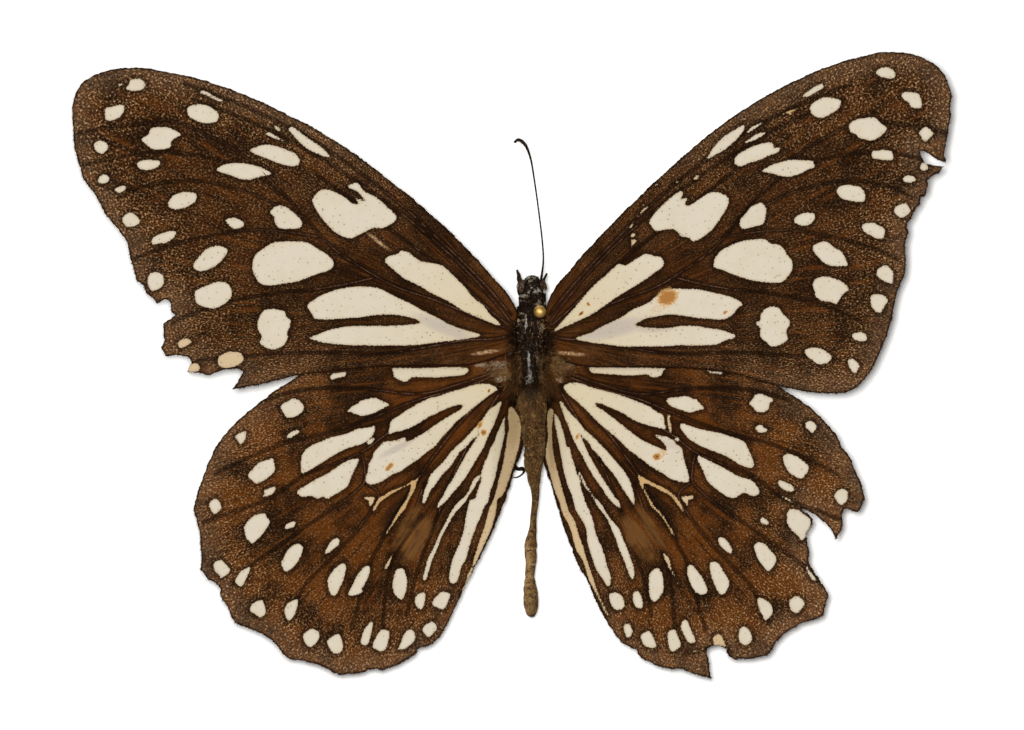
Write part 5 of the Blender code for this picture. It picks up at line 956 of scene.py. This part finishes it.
def outward(points, faces):
    """Turn every face round if the volume that they enclose, summed over cones to the origin, is
    negative."""
    volume = 0.0
    for part in faces:
        for second in range(1, part.shape[1] - 1):
            a, b, c = points[part[:, 0]], points[part[:, second]], points[part[:, second + 1]]
            volume += np.sum(a * np.cross(b, c))
    return points, tuple(part[:, ::-1] if volume < 0 else part for part in faces)


def joined(pieces):
    """Several point and face sets as one."""
    offset, points, faces = 0, [], []
    for part_points, part_faces in pieces:
        points.append(part_points)
        faces.extend(part + offset for part in part_faces)
        offset += len(part_points)
    return np.vstack(points), tuple(faces)


def hairs(roots, ways, lengths, radius, droop, sides=3, rings=3):
    """Hairs as thin spines: ring k of a hair is at its root plus its way times its length times t, less
    droop times t squared in z, with a radius that narrows to a point at the tip."""
    count = len(roots)
    t = np.arange(rings) / rings
    lengths = np.broadcast_to(lengths, (count,))[:, None, None]
    ways = ways / np.linalg.norm(ways, axis=1)[:, None]
    spine = roots[:, None] + ways[:, None] * lengths * t[None, :, None]
    fall = np.zeros_like(spine)
    fall[:, :, 2] = -droop * lengths[:, :, 0] * t ** 2
    aside = np.cross(ways, np.array((0.3, 0.2, 0.93)))
    aside /= np.linalg.norm(aside, axis=1)[:, None] + 1e-9
    over = np.cross(aside, ways)
    turn = 2 * np.pi * np.arange(sides) / sides
    thick = radius * (1 - 0.75 * t)[None, :, None, None]
    ring = thick * (aside[:, None, None] * np.cos(turn)[:, None]
                    + over[:, None, None] * np.sin(turn)[:, None])
    body = (spine + fall)[:, :, None] + ring
    tip = roots + ways * lengths[:, 0]
    tip[:, 2] -= droop * lengths[:, 0, 0]
    points = np.concatenate((body.reshape(count, -1, 3), tip[:, None]), axis=1).reshape(-1, 3)
    each = rings * sides + 1
    base = (np.arange(count) * each)[:, None, None]
    here, there = np.arange(sides), (np.arange(sides) + 1) % sides
    levels = (np.arange(rings - 1) * sides)[:, None]
    walls = np.stack((levels + here, levels + there, levels + sides + there, levels + sides + here), axis=-1)
    walls = (walls.reshape(1, -1, 4) + base).reshape(-1, 4)
    top = (rings - 1) * sides
    tips = np.stack((top + here, top + there, np.full(sides, rings * sides)), axis=-1)
    tips = (tips[None] + base).reshape(-1, 3)
    foot = (np.arange(sides)[::-1][None, None] + base).reshape(-1, sides)
    return outward(points, (walls, tips, foot))


def hex_colour(text):
    """A colour written as six sRGB hex digits, as linear red, green, blue and full alpha."""
    parts = [int(text[start:start + 2], 16) / 255 for start in (0, 2, 4)]
    return (*[part / 12.92 if part <= 0.04045 else ((part + 0.055) / 1.055) ** 2.4 for part in parts], 1.0)


def add_node(tree, kind, inputs=(), output=0, **settings):
    """Add a node with its settings and return one of its outputs. inputs maps a socket's name or place to
    a value, or to the output that feeds it."""
    node = tree.nodes.new(kind)
    for name, value in settings.items():
        setattr(node, name, value)
    for name, value in dict(inputs).items():
        if isinstance(value, bpy.types.NodeSocket):
            tree.links.new(value, node.inputs[name])
        else:
            node.inputs[name].default_value = value
    return node.outputs[output]


def layered_material(name, surface, fields=(), noises=(), sums=(), shares=(), stacks=(), relief=()):
    """A Principled material from tables. surface has the constants of the shader's own sockets. fields are
    the mesh attributes to read. A noise is a kind, its coordinates, its scale and its inputs and settings.
    A sum starts with a value and adds others times a weight. A share is a smooth step of a value, from a
    start to an end and from a low to a high share, times any further values. A stack is a colour and the
    layers laid over it, each a share and a colour or another stack: the last stack is the base colour.
    relief is a value, a strength and a depth in metres."""
    material = bpy.data.materials.new(name)
    material.use_nodes = True
    tree = material.node_tree
    shader = tree.nodes["Principled BSDF"]
    for socket, number in surface.items():
        shader.inputs[socket].default_value = number
    value = {"place": add_node(tree, "ShaderNodeTexCoord", (), 3)}
    for field in fields:
        value[field] = add_node(tree, "ShaderNodeAttribute", (), 2, attribute_name=field)
    if "across" in value:
        value["flat"] = add_node(tree, "ShaderNodeCombineXYZ", {0: value["along"], 1: value["across"]})
    for noise, (kind, source, scale, inputs, settings) in noises.items():
        vector = add_node(tree, "ShaderNodeMapping", {0: value[source], 3: scale})
        value[noise] = add_node(tree, kind, {"Vector": vector, "Scale": 1.0} | inputs, **settings)
    for total, (first, *terms) in dict(sums).items():
        value[total] = value[first]
        for term, weight in terms:
            value[total] = add_node(tree, "ShaderNodeMath", {0: value[term], 1: weight, 2: value[total]},
                                    operation="MULTIPLY_ADD")
    for share, (source, start, end, low, high, *factors) in shares.items():
        value[share] = add_node(tree, "ShaderNodeMapRange",
                                {0: value[source], 1: start, 2: end, 3: low, 4: high},
                                interpolation_type="SMOOTHSTEP")
        for factor in factors:
            value[share] = add_node(tree, "ShaderNodeMath", {0: value[share], 1: value[factor]},
                                    operation="MULTIPLY")
    for stack, (base, layers) in stacks.items():
        colour = value[base] if base in value else hex_colour(base)
        for share, tint in layers:
            tint = value[tint] if tint in value else hex_colour(tint)
            colour = add_node(tree, "ShaderNodeMix", {0: value[share], 6: colour, 7: tint}, 2,
                              data_type="RGBA")
        value[stack] = colour
    tree.links.new(colour, shader.inputs["Base Color"])
    source, strength, depth = relief
    bump = add_node(tree, "ShaderNodeBump",
                    {"Strength": strength, "Distance": depth, "Height": value[source]})
    tree.links.new(bump, shader.inputs["Normal"])
    return material


def wing_scale_material():
    """Wing membrane under rows of flat scales 0.1 mm long, dull and dusty. The ground is dark brown with
    worn scales that show as short tan flecks, drawn twice as coarse as they are, in lanes that run out
    from the root. The marks have cream scales with ragged ends and dark pores 0.15 mm across."""
    noise, cells = "ShaderNodeTexNoise", "ShaderNodeTexVoronoi"
    return layered_material(
        "wing_scales_brown_and_cream",
        {"Roughness": 0.8, "IOR": 1.56, "Specular IOR Level": 0.02},
        fields=("mark", "tone", "vein", "edge", "ridge", "along", "across", "painted_shade_and_dark_scales", "veil", "glow", "stain",
                "brand", "buff", "hind"),
        noises={
            "rows": (noise, "flat", (4.6, 8.0, 1.0), {"Detail": 2.0, "Roughness": 0.65}, {}),
            "lanes": (noise, "flat", (0.2, 2.3, 1.0), {"Detail": 3.0, "Roughness": 0.6}, {}),
            "streaks": (noise, "flat", (0.3, 1.3, 1.0), {"Detail": 3.0, "Roughness": 0.65}, {}),
            "cloud": (noise, "place", (260.0, 260.0, 260.0), {"Detail": 3.0, "Roughness": 0.55}, {}),
            "spread": (noise, "place", (620.0, 620.0, 620.0), {"Detail": 2.0, "Roughness": 0.6}, {}),
            "grain": (noise, "place", (5400.0, 5400.0, 5400.0), {"Detail": 1.0}, {}),
            "teeth": (noise, "place", (9000.0, 9000.0, 9000.0), {"Detail": 1.0}, {}),
            "pores": (cells, "place", (1250.0, 1250.0, 1250.0), {}, {"voronoi_dimensions": "2D"})},
        sums={
            "ragged": ("mark", ("grain", 0.2), ("teeth", 0.1)),
            "stained": ("stain", ("grain", 0.5))},
        shares={
            "patch": ("cloud", 0.38, 0.62, 0.0, 1.0),
            "warm hind": ("hind", 0.0, 1.0, 0.0, 0.45, "patch"),
            "dark fore": ("hind", 1.0, 0.0, 0.0, 0.4),
            "dark lane": ("lanes", 0.46, 0.34, 0.0, 0.75),
            "warm lane": ("lanes", 0.53, 0.66, 0.0, 0.65),
            "fleck reach": ("along", 10.0, 31.0, 0.28, 1.0),
            "fleck patch": ("cloud", 0.36, 0.56, 0.45, 1.0),
            "fleck spread": ("spread", 0.36, 0.6, 0.35, 0.95),
            "fleck band": ("edge", 8.5, 1.0, 0.4, 1.0),
            "clear of marks": ("mark", 0.02, 0.5, 0.35, 1.0),
            "beside mark": ("mark", 0.65, 0.15, 0.0, 0.7),
            "fine": ("grain", 0.4, 0.62, 0.3, 1.0),
            "fleck": ("rows", 0.47, 0.61, 0.0, 1.0, "fleck reach", "fleck band", "fleck spread",
                      "fleck patch", "clear of marks"),
            "bright fleck": ("rows", 0.57, 0.69, 0.0, 0.95, "fleck reach", "fleck band", "fleck patch",
                             "clear of marks", "fine"),
            "streak reach": ("along", 20.0, 5.0, 0.0, 0.6),
            "dark streak": ("streaks", 0.48, 0.38, 0.0, 1.0, "streak reach"),
            "light streak": ("streaks", 0.57, 0.68, 0.0, 1.0, "streak reach", "fine"),
            "amber patch": ("lanes", 0.4, 0.6, 0.25, 1.0),
            "amber": ("along", 11.0, 2.0, 0.0, 0.7, "amber patch"),
            "margin reach": ("along", 18.0, 32.0, 0.0, 1.0),
            "margin": ("edge", 3.0, 0.3, 0.0, 0.6, "margin reach", "fine"),
            "vein reach": ("along", 12.0, 32.0, 0.9, 0.75),
            "beside vein": ("vein", 0.34, 0.1, 0.0, 0.9, "vein reach"),
            "vein wear": ("spread", 0.36, 0.56, 0.3, 1.0),
            "pale vein": ("along", 34.0, 16.0, 0.3, 0.75, "ridge", "vein wear", "fine"),
            "rim": ("edge", 0.3, 0.06, 0.0, 0.85),
            "mottle": ("spread", 0.4, 0.65, 0.0, 0.5),
            "near root": ("along", 17.0, 4.0, 0.0, 0.7),
            "mark rim": ("ragged", -0.1, 0.15, 0.0, 0.5),
            "pore spread": ("cloud", 0.38, 0.55, 0.3, 1.0),
            "pore depth": ("spread", 0.38, 0.6, 0.35, 1.0),
            "pore": ("pores", 0.13, 0.05, 0.0, 0.65, "pore spread", "pore depth"),
            "tan": ("tone", 0.0, 0.45, 0.0, 1.0),
            "ochre": ("tone", 0.5, 1.0, 0.0, 1.0),
            "veiled": ("veil", 0.0, 1.0, 0.0, 0.8),
            "buffed": ("buff", 0.0, 0.9, 0.0, 0.9),
            "brand spread": ("spread", 0.35, 0.5, 0.45, 1.0),
            "branded": ("brand", 0.1, 0.8, 0.0, 0.85, "brand spread"),
            "glowing": ("glow", 0.0, 0.8, 0.0, 0.9, "fine"),
            "light stain": ("stained", 0.38, 0.62, 0.0, 0.8),
            "deep stain": ("stained", 0.6, 0.8, 0.0, 0.9),
            "dark stain": ("stained", 0.95, 1.15, 0.0, 1.0),
            "shown": ("ragged", 0.17, 0.1, 0.0, 1.0)},
        stacks={
            "brand scales": ("5c3d1f", (("warm lane", "784918"), ("dark lane", "321d09"))),
            "ground": ("1d0c02", (
                ("patch", "391b03"), ("warm hind", "5a2d04"), ("dark fore", "170902"),
                ("dark lane", "120702"), ("warm lane", "502806"),
                ("amber", "552c08"), ("dark streak", "110702"), ("light streak", "6a411c"),
                ("margin", "5a4432"), ("beside mark", "170902"), ("fleck", "7b5935"),
                ("bright fleck", "ba9b7a"), ("beside vein", "110702"), ("pale vein", "634434"),
                # The near-black 0c0705 layer below is painted shade on the wing bases beside the body, and a
                # band of dark scales on each hindwing.
                ("branded", "brand scales"), ("glowing", "ba956d"), ("painted_shade_and_dark_scales", "0c0705"),
                ("rim", "170a04"))),
            "cream": ("bdb3a1", (
                ("mottle", "b8ac95"), ("near root", "baab89"), ("tan", "b59d7a"),
                ("ochre", "b28e5c"), ("buffed", "97805a"), ("veiled", "a2978d"),
                ("mark rim", "9b8666"), ("pore", "60523e"))),
            "scales": ("ground", (
                ("shown", "cream"), ("light stain", "b58e5a"), ("deep stain", "905e28"),
                ("dark stain", "3b2109")))},
        relief=("rows", 0.4, 0.00006))


def mottled_material(name, surface, base, patches):
    """One stuff in soft patches, coarse ones first: each a pitch in mm, where its noise starts and ends,
    the most that shows of it, and its colour."""
    noises, shares, layers = {}, {}, []
    for number, (pitch, start, end, most, colour) in enumerate(patches):
        noises[f"patch {number}"] = ("ShaderNodeTexNoise", "place", (1000.0 / pitch,) * 3,
                                     {"Detail": 4.0, "Roughness": 0.65}, {})
        shares[f"share {number}"] = (f"patch {number}", start, end, 0.0, most)
        layers.append((f"share {number}", colour))
    return layered_material(name, surface, noises=noises, shares=shares, stacks={"skin": (base, layers)},
                            relief=("patch 0", 0.35, 0.00008))


def abdomen_material():
    """Dry abdomen skin under short flat scales: brown-black to pale buff by the piece's tone, with fine
    curled flecks 0.3 mm across, which show as a rough crumb."""
    return layered_material(
        "dry_abdomen_skin",
        {"Roughness": 0.8, "IOR": 1.56, "Specular IOR Level": 0.1},
        fields=("tone",),
        noises={
            "crumb": ("ShaderNodeTexNoise", "place", (3400.0,) * 3,
                      {"Detail": 3.0, "Roughness": 0.6, "Distortion": 1.4}, {}),
            "broad": ("ShaderNodeTexNoise", "place", (900.0,) * 3, {"Detail": 3.0}, {})},
        shares={
            "paler": ("tone", 0.2, 0.9, 0.0, 1.0), "deeper": ("tone", 0.2, 0.02, 0.0, 0.85),
            "dark": ("crumb", 0.5, 0.4, 0.0, 0.9), "light": ("crumb", 0.54, 0.64, 0.0, 0.75),
            "patch": ("broad", 0.42, 0.6, 0.0, 0.6)},
        stacks={"skin": ("402910", (
            ("paler", "977b51"), ("patch", "54381a"), ("dark", "231406"),
            ("light", "7e6035"), ("deeper", "150c06")))},
        relief=("crumb", 0.7, 0.0001))


def hair_material():
    """Dry hair scales on the body, from brown-black to gold and grey-white by each hair's tone, a little
    uneven along the hair."""
    return layered_material(
        "dry_hair_scales",
        {"Roughness": 0.65, "IOR": 1.55, "Specular IOR Level": 0.02},
        fields=("tone",),
        noises={"uneven": ("ShaderNodeTexNoise", "place", (5000.0,) * 3, {"Detail": 1.0}, {})},
        shares={
            "brown": ("tone", 0.0, 0.35, 0.0, 1.0), "gold": ("tone", 0.35, 0.65, 0.0, 1.0),
            "white": ("tone", 0.65, 1.0, 0.0, 1.0), "darker": ("uneven", 0.55, 0.4, 0.0, 0.35)},
        stacks={"hair": ("050403", (
            ("brown", "402813"), ("gold", "896840"), ("white", "bdb8ac"),
            ("darker", "1a1009")))},
        relief=("uneven", 0.1, 0.00002))


def barrel(stations, steps, sides, tallness, bumps):
    """Rings through stations of y, centre x, centre z and half width, each as tall as its half width
    times tallness. bumps gives the ring's reach from the cosine round it and y along it. Returns the
    points, the faces and the rows that the stations were eased to."""
    rows = open_curve(stations, steps)
    y, x, z, radius = rows.T
    turn = np.linspace(0, 2 * np.pi, sides, endpoint=False)
    reach = bumps(np.cos(turn) + 0 * y[:, None], y[:, None] + 0 * turn)
    points, faces = loft(np.stack((x, y, z), axis=1), radius, radius * tallness, sides=sides, bumps=reach)
    return points, faces, rows


def ring_shade(y, width):
    """Sum over the abdomen's rings of e to the minus square of the distance from each in widths."""
    return np.exp(-((y[:, None] - np.array(ABDOMEN_RINGS)) / width) ** 2).sum(axis=1)


def make_thorax(material):
    """The body's middle: rings along y whose half height is more than their half width, roughened by
    waves and cut flat at the resting plane."""
    points, faces, _ = barrel(THORAX_STATIONS, THORAX_STEPS, 72, THORAX_TALLNESS,
                              lambda across, along: 1 + 0.05 * waves(along, 3 * across, 1.3, SEED))
    points[:, 2] = np.maximum(points[:, 2], 0.0)
    add_piece("thorax_cuticle", points, faces, material, ("thorax",))


def make_neck(material):
    """The neck, a short closed form through its stations that runs into the thorax and the head."""
    points, faces, _ = barrel(NECK_STATIONS, 10, 48, NECK_TALLNESS,
                              lambda across, along: 1 + 0.04 * waves(along, 2 * across, 0.8, SEED + 1))
    add_piece("neck", points, faces, material)


def make_abdomen(material):
    """The shrivelled rear body: rings along its stations, pinched at each segment and dented by waves.
    Its tone is dark along the middle, paler at the sides and on the last segments' left."""
    def bumps(across, along):
        dents = 0.1 * waves(1.4 * across, along, 2.0, SEED + 4)
        wrinkles = 0.05 * waves(6 * across, along, 0.9, SEED + 5)
        return (1 + dents + wrinkles) * (1 - RING_PINCH * ring_shade(along[:, 0], RING_WIDTH)[:, None])

    points, faces, rows = barrel(ABDOMEN_STATIONS, 16, 64, ABDOMEN_TALLNESS, bumps)
    piece = add_piece("abdomen_skin", points, faces, material, ("abdomen",))
    x, y = points[:, 0], points[:, 1]
    rows = rows[np.argsort(rows[:, 0])]
    centre, half = (np.interp(y, rows[:, 0], rows[:, column]) for column in (1, 3))
    aside = (x - centre) / np.maximum(half, 0.1)
    behind = np.interp(-y, *np.transpose(ABDOMEN_TONES))
    paler = SIDE_TONE * np.abs(aside) ** 3 * (y > SHRIVELLED_Y) - SIDE_TONE * aside * (y < TAIL_Y)
    seams = SEAM_TONE * ring_shade(y, SEAM_WIDTH) * (y < TAIL_Y)
    set_field(piece, "tone", np.clip(behind + paler + seams, 0, 1))


def ball(centre, size, sides, rings):
    """An ellipsoid: rings along y whose radius is the sine of the angle from the pole."""
    angle = np.linspace(0, np.pi, rings + 2)[1:-1]
    centre, size = np.array(centre), np.array(size)
    path = centre + np.stack((0 * angle, -np.cos(angle) * size[1], 0 * angle), axis=1)
    points, faces = loft(path, np.sin(angle) * size[0], np.sin(angle) * size[2], sides=sides)
    points[-2] = centre - (0, size[1], 0)
    points[-1] = centre + (0, size[1], 0)
    return points, faces


def roughened(points, centre, push):
    """Points moved from a centre out or in, each by its own share of its distance."""
    return np.array(centre) + (points - centre) * (1 + push)[:, None]


def make_head(cuticle, eye_material):
    """The head capsule with a bulging brow, both roughened by waves, and its two compound eyes."""
    points, faces = joined((ball(HEAD_CENTRE, HEAD_SIZE, 56, 36), ball(BROW_CENTRE, BROW_SIZE, 40, 24)))
    push = 0.05 * waves(points[:, 0] + points[:, 2], points[:, 1], 0.7, SEED + 8)
    points = roughened(points, HEAD_CENTRE, push)
    add_piece("head_capsule", points, faces, cuticle, ("head",))
    for node, centre in EYES.items():
        points, faces = ball(centre, EYE_SIZE, 48, 30)
        push = 0.03 * waves(points[:, 0], points[:, 1] + points[:, 2], 0.8, SEED + 9)
        points = roughened(points, centre, push)
        add_piece(node + "_facets", points, faces, eye_material, (node,))


def make_limb(node, route, material, knots=0.0, pitch=1.0):
    """A limb through its route of x, y, z and radius, swollen a little at regular knots as its segments
    are: the radius times 1 plus knots times the cosine of the length along it in pitches."""
    curve = open_curve(route, 10)
    path, radius = curve[:, :3], curve[:, 3]
    along = np.concatenate(([0], np.cumsum(np.linalg.norm(np.diff(path, axis=0), axis=1))))
    radius = radius * (1 + knots * np.cos(2 * np.pi * along / pitch))
    points, faces = loft(path, radius, sides=12)
    add_piece(node + "_segments", points, faces, material, (node,))


def make_proboscis(material):
    """The tongue: a spiral of even pitch in an upright plane, hanging below the head."""
    share = np.linspace(0, 1, 160)
    angle = np.pi / 2 + 2 * np.pi * PROBOSCIS_TURNS * share
    radius = PROBOSCIS_OUTER - PROBOSCIS_PITCH * PROBOSCIS_TURNS * share
    x, y, z = PROBOSCIS_CENTRE
    path = np.stack((np.full_like(share, x), y + radius * np.cos(angle), z + radius * np.sin(angle)), axis=1)
    points, faces = loft(path, PROBOSCIS_RADIUS * (1 - 0.5 * share), sides=12, up=(1, 0, 0))
    add_piece("proboscis_coil", points, faces, material, ("proboscis",))


def make_pin(steel, gilt):
    """The pin's wire, turned to a collar under its head, and the head: a bead a little flat on top."""
    z, share = np.transpose(PIN_PROFILE)
    path = np.stack((np.full_like(z, PIN_X), np.full_like(z, PIN_Y), z), axis=1)
    points, faces = loft(path, PIN_RADIUS * share, sides=24, up=(0, 1, 0))
    add_piece("pin_wire", points, faces, steel, ("pin_shaft",))
    points, faces = ball((PIN_X, PIN_Y, PIN_HEAD_Z), (PIN_HEAD_RADIUS,) * 3, 48, 30)
    above = np.maximum(points[:, 2] - PIN_HEAD_Z - PIN_FLAT_FROM, 0)
    points[:, 2] -= PIN_FLAT_SHARE * above
    add_piece("pin_bead", points, faces, gilt, ("pin_head",))


def crest(x, y, stations, tallness):
    """Height of the top of a lofted form at x and y, as an ellipse over each station, and far below
    everything outside it."""
    rows = np.array(stations)[np.argsort([row[0] for row in stations])]
    middle, level, half = (np.interp(y, rows[:, 0], rows[:, column]) for column in (1, 2, 3))
    part = 1 - ((x - middle) / half) ** 2
    there = (part > 0) & (y > rows[0, 0]) & (y < rows[-1, 0])
    return np.where(there, level + tallness * half * np.sqrt(np.maximum(part, 0)), NOWHERE)


def body_top(x, y):
    """Height of the highest surface at x and y: thorax, neck, head or abdomen, else the wings' bases, and
    far below everything where none of them is."""
    wings = np.where(y > WING_PARTING_Y, forewing_height(x, y), hindwing_height(x, y)) + WING_NAP
    rear, front = WING_BASES_Y
    heights = [crest(x, y, THORAX_STATIONS, THORAX_TALLNESS), crest(x, y, NECK_STATIONS, NECK_TALLNESS),
               crest(x, y, ABDOMEN_STATIONS, ABDOMEN_TALLNESS),
               np.where((y > rear) & (y < front), wings, NOWHERE)]
    balls = [(HEAD_CENTRE, HEAD_SIZE), (BROW_CENTRE, BROW_SIZE)] + [(eye, EYE_SIZE) for eye in EYES.values()]
    for centre, size in balls:
        part = 1 - ((x - centre[0]) / size[0]) ** 2 - ((y - centre[1]) / size[1]) ** 2
        heights.append(np.where(part > 0, centre[2] + size[2] * np.sqrt(np.maximum(part, 0)), NOWHERE))
    return np.max(heights, axis=0)


def make_fur(material):
    """Hair on the thorax, rooted all round it and swept back, and tufts that are rooted on the body's
    upper side or on the wings' bases, each swept its own way."""
    draw = np.random.default_rng(SEED)
    rows = open_curve(THORAX_STATIONS, THORAX_STEPS)
    rows = rows[np.argsort(rows[:, 0])]
    y = draw.uniform(*THORAX_HAIR_Y, THORAX_HAIRS)
    x, z, radius = (np.interp(y, rows[:, 0], rows[:, column]) for column in (1, 2, 3))
    turn = draw.uniform(-0.3 * np.pi, 1.3 * np.pi, THORAX_HAIRS)
    out = np.stack((np.cos(turn), 0 * turn, np.sin(turn)), axis=1)
    roots = np.stack((x, y, z), axis=1)
    roots += out * np.stack((radius, radius, radius * THORAX_TALLNESS), axis=1) * THORAX_HAIR_DEPTH
    ways = out * draw.uniform(0.1, 0.6, (THORAX_HAIRS, 1)) + (0, -0.7, 0)
    ways += draw.normal(0, 0.4, (THORAX_HAIRS, 3))
    ways /= np.linalg.norm(ways, axis=1)[:, None]
    above = roots[:, 2] + THORAX_HAIR_LENGTHS[1] * np.minimum(ways[:, 2], 0) > LOWEST_HAIR
    roots, ways = roots[above], ways[above]
    tones = np.minimum(draw.exponential(0.12, len(roots)), 0.55)
    sets = [(roots, ways, draw.uniform(*THORAX_HAIR_LENGTHS, len(roots)), tones)]
    for middle_x, middle_y, spread_x, spread_y, count, length, degrees, lift, tone in TUFTS:
        x, y = draw.normal(middle_x, spread_x, count), draw.normal(middle_y, spread_y, count)
        lean = np.radians(degrees) + draw.normal(0, 0.25 + 0.1 / length, count)
        ways = np.stack((np.cos(lean), np.sin(lean), lift + draw.normal(0, 0.1, count)), axis=1)
        roots = np.stack((x, y, body_top(x, y) - TUFT_DEPTH), axis=1)
        lengths = draw.uniform(0.6, 1.2, count) * length
        tones = np.clip(draw.normal(tone, 0.07, count), 0, 1)
        rooted = roots[:, 2] > 0
        sets.append((roots[rooted], ways[rooted], lengths[rooted], tones[rooted]))
    half = len(sets) // 2
    for name, group in (("body_fur", sets[:1]), ("front_tufts", sets[1:half]), ("rear_tufts", sets[half:])):
        roots, ways, lengths, tones = (np.concatenate(part) for part in zip(*group))
        points, faces = hairs(roots, ways, lengths, HAIR_RADIUS, HAIR_DROOP)
        piece = add_piece(name, points, faces, material)
        set_field(piece, "tone", np.repeat(tones, len(points) // len(roots)))


def make_floor():
    """A plain pale floor under the specimen."""
    bpy.ops.mesh.primitive_plane_add(size=FLOOR_SIDE, location=(0, 0, 0))
    floor = bpy.context.object
    floor.name = "studio_floor"
    material = bpy.data.materials.new("matt_white_board")
    material.use_nodes = True
    shader = material.node_tree.nodes["Principled BSDF"]
    shader.inputs["Base Color"].default_value = hex_colour("fbfaf8")
    shader.inputs["Roughness"].default_value = 0.9
    floor.data.materials.append(material)


def make_light(name, place, size, power):
    """A square soft light that faces the specimen."""
    lamp = bpy.data.lights.new(name, "AREA")
    lamp.shape = "SQUARE"
    lamp.size = size
    lamp.energy = power
    light = bpy.data.objects.new(name, lamp)
    light.location = place
    light.rotation_euler = (-light.location).to_track_quat("-Z", "Y").to_euler()
    bpy.context.scene.collection.objects.link(light)


def make_studio():
    """Floor, soft lights, a pale surround and the camera straight above."""
    make_floor()
    for name, (place, size, power) in LIGHTS.items():
        make_light(name, place, size, power)
    world = bpy.data.worlds.new("pale_studio")
    bpy.context.scene.world = world
    world.use_nodes = True
    surround = world.node_tree.nodes["Background"]
    surround.inputs["Color"].default_value = (1.0, 1.0, 1.0, 1.0)
    surround.inputs["Strength"].default_value = SURROUND_STRENGTH
    lens = bpy.data.cameras.new("camera")
    lens.type = "ORTHO"
    lens.ortho_scale = PHOTO_WIDTH / PIXELS_PER_MM * MM
    lens.clip_start = 0.01
    lens.clip_end = 10.0
    camera = bpy.data.objects.new("camera", lens)
    camera.location = (AIM_X * MM, AIM_Y * MM, CAMERA_HEIGHT * MM)
    bpy.context.scene.collection.objects.link(camera)
    bpy.context.scene.camera = camera
    bpy.context.scene.view_settings.view_transform = "Standard"


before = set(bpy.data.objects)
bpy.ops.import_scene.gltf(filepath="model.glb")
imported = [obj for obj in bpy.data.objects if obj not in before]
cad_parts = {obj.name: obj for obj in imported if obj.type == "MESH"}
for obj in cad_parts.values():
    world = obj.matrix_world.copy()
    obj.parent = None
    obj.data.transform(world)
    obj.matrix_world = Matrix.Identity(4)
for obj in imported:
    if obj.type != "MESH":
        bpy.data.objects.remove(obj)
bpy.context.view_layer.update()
make_studio()
scales = wing_scale_material()
for number, (node, (marks, veins, shades)) in enumerate(WINGS.items()):
    make_wing(node, SEED + 20 * number, marks, veins, shades, scales)
dull = {"Roughness": 0.75, "IOR": 1.56, "Specular IOR Level": 0.03}
cuticle = mottled_material("black_cuticle", dull, "050403", (
    (0.5, 0.38, 0.62, 1.0, "1c120c"), (0.22, 0.54, 0.66, 0.6, "3d2d1f"),
    (0.13, 0.6, 0.7, 0.6, "786652")))
make_thorax(cuticle)
make_neck(cuticle)
make_abdomen(abdomen_material())
make_head(cuticle, mottled_material("dull_eye_facets", dull | {"Roughness": 0.5}, "2a1d15", (
    (0.35, 0.38, 0.62, 1.0, "513e2f"), (0.12, 0.55, 0.7, 0.5, "6c5a47"))))
for node, route in PALPS.items():
    make_limb(node, route, cuticle)
make_limb("antenna_right", ANTENNA_ROUTE, cuticle, knots=0.06, pitch=0.45)
for node, route in LEGS.items():
    make_limb(node, route, cuticle, knots=0.06, pitch=0.9)
make_proboscis(cuticle)
make_pin(mottled_material("drawn_pin_steel", {"Roughness": 0.3, "Metallic": 1.0}, "77777a", (
             (0.4, 0.38, 0.62, 1.0, "a5a5a8"),)),
         mottled_material("gilt_brass_bead", {"Roughness": 0.5, "Metallic": 1.0}, "947436", (
             (0.4, 0.38, 0.62, 1.0, "b8965a"), (0.2, 0.55, 0.75, 0.6, "6d5020"))))
make_fur(hair_material())
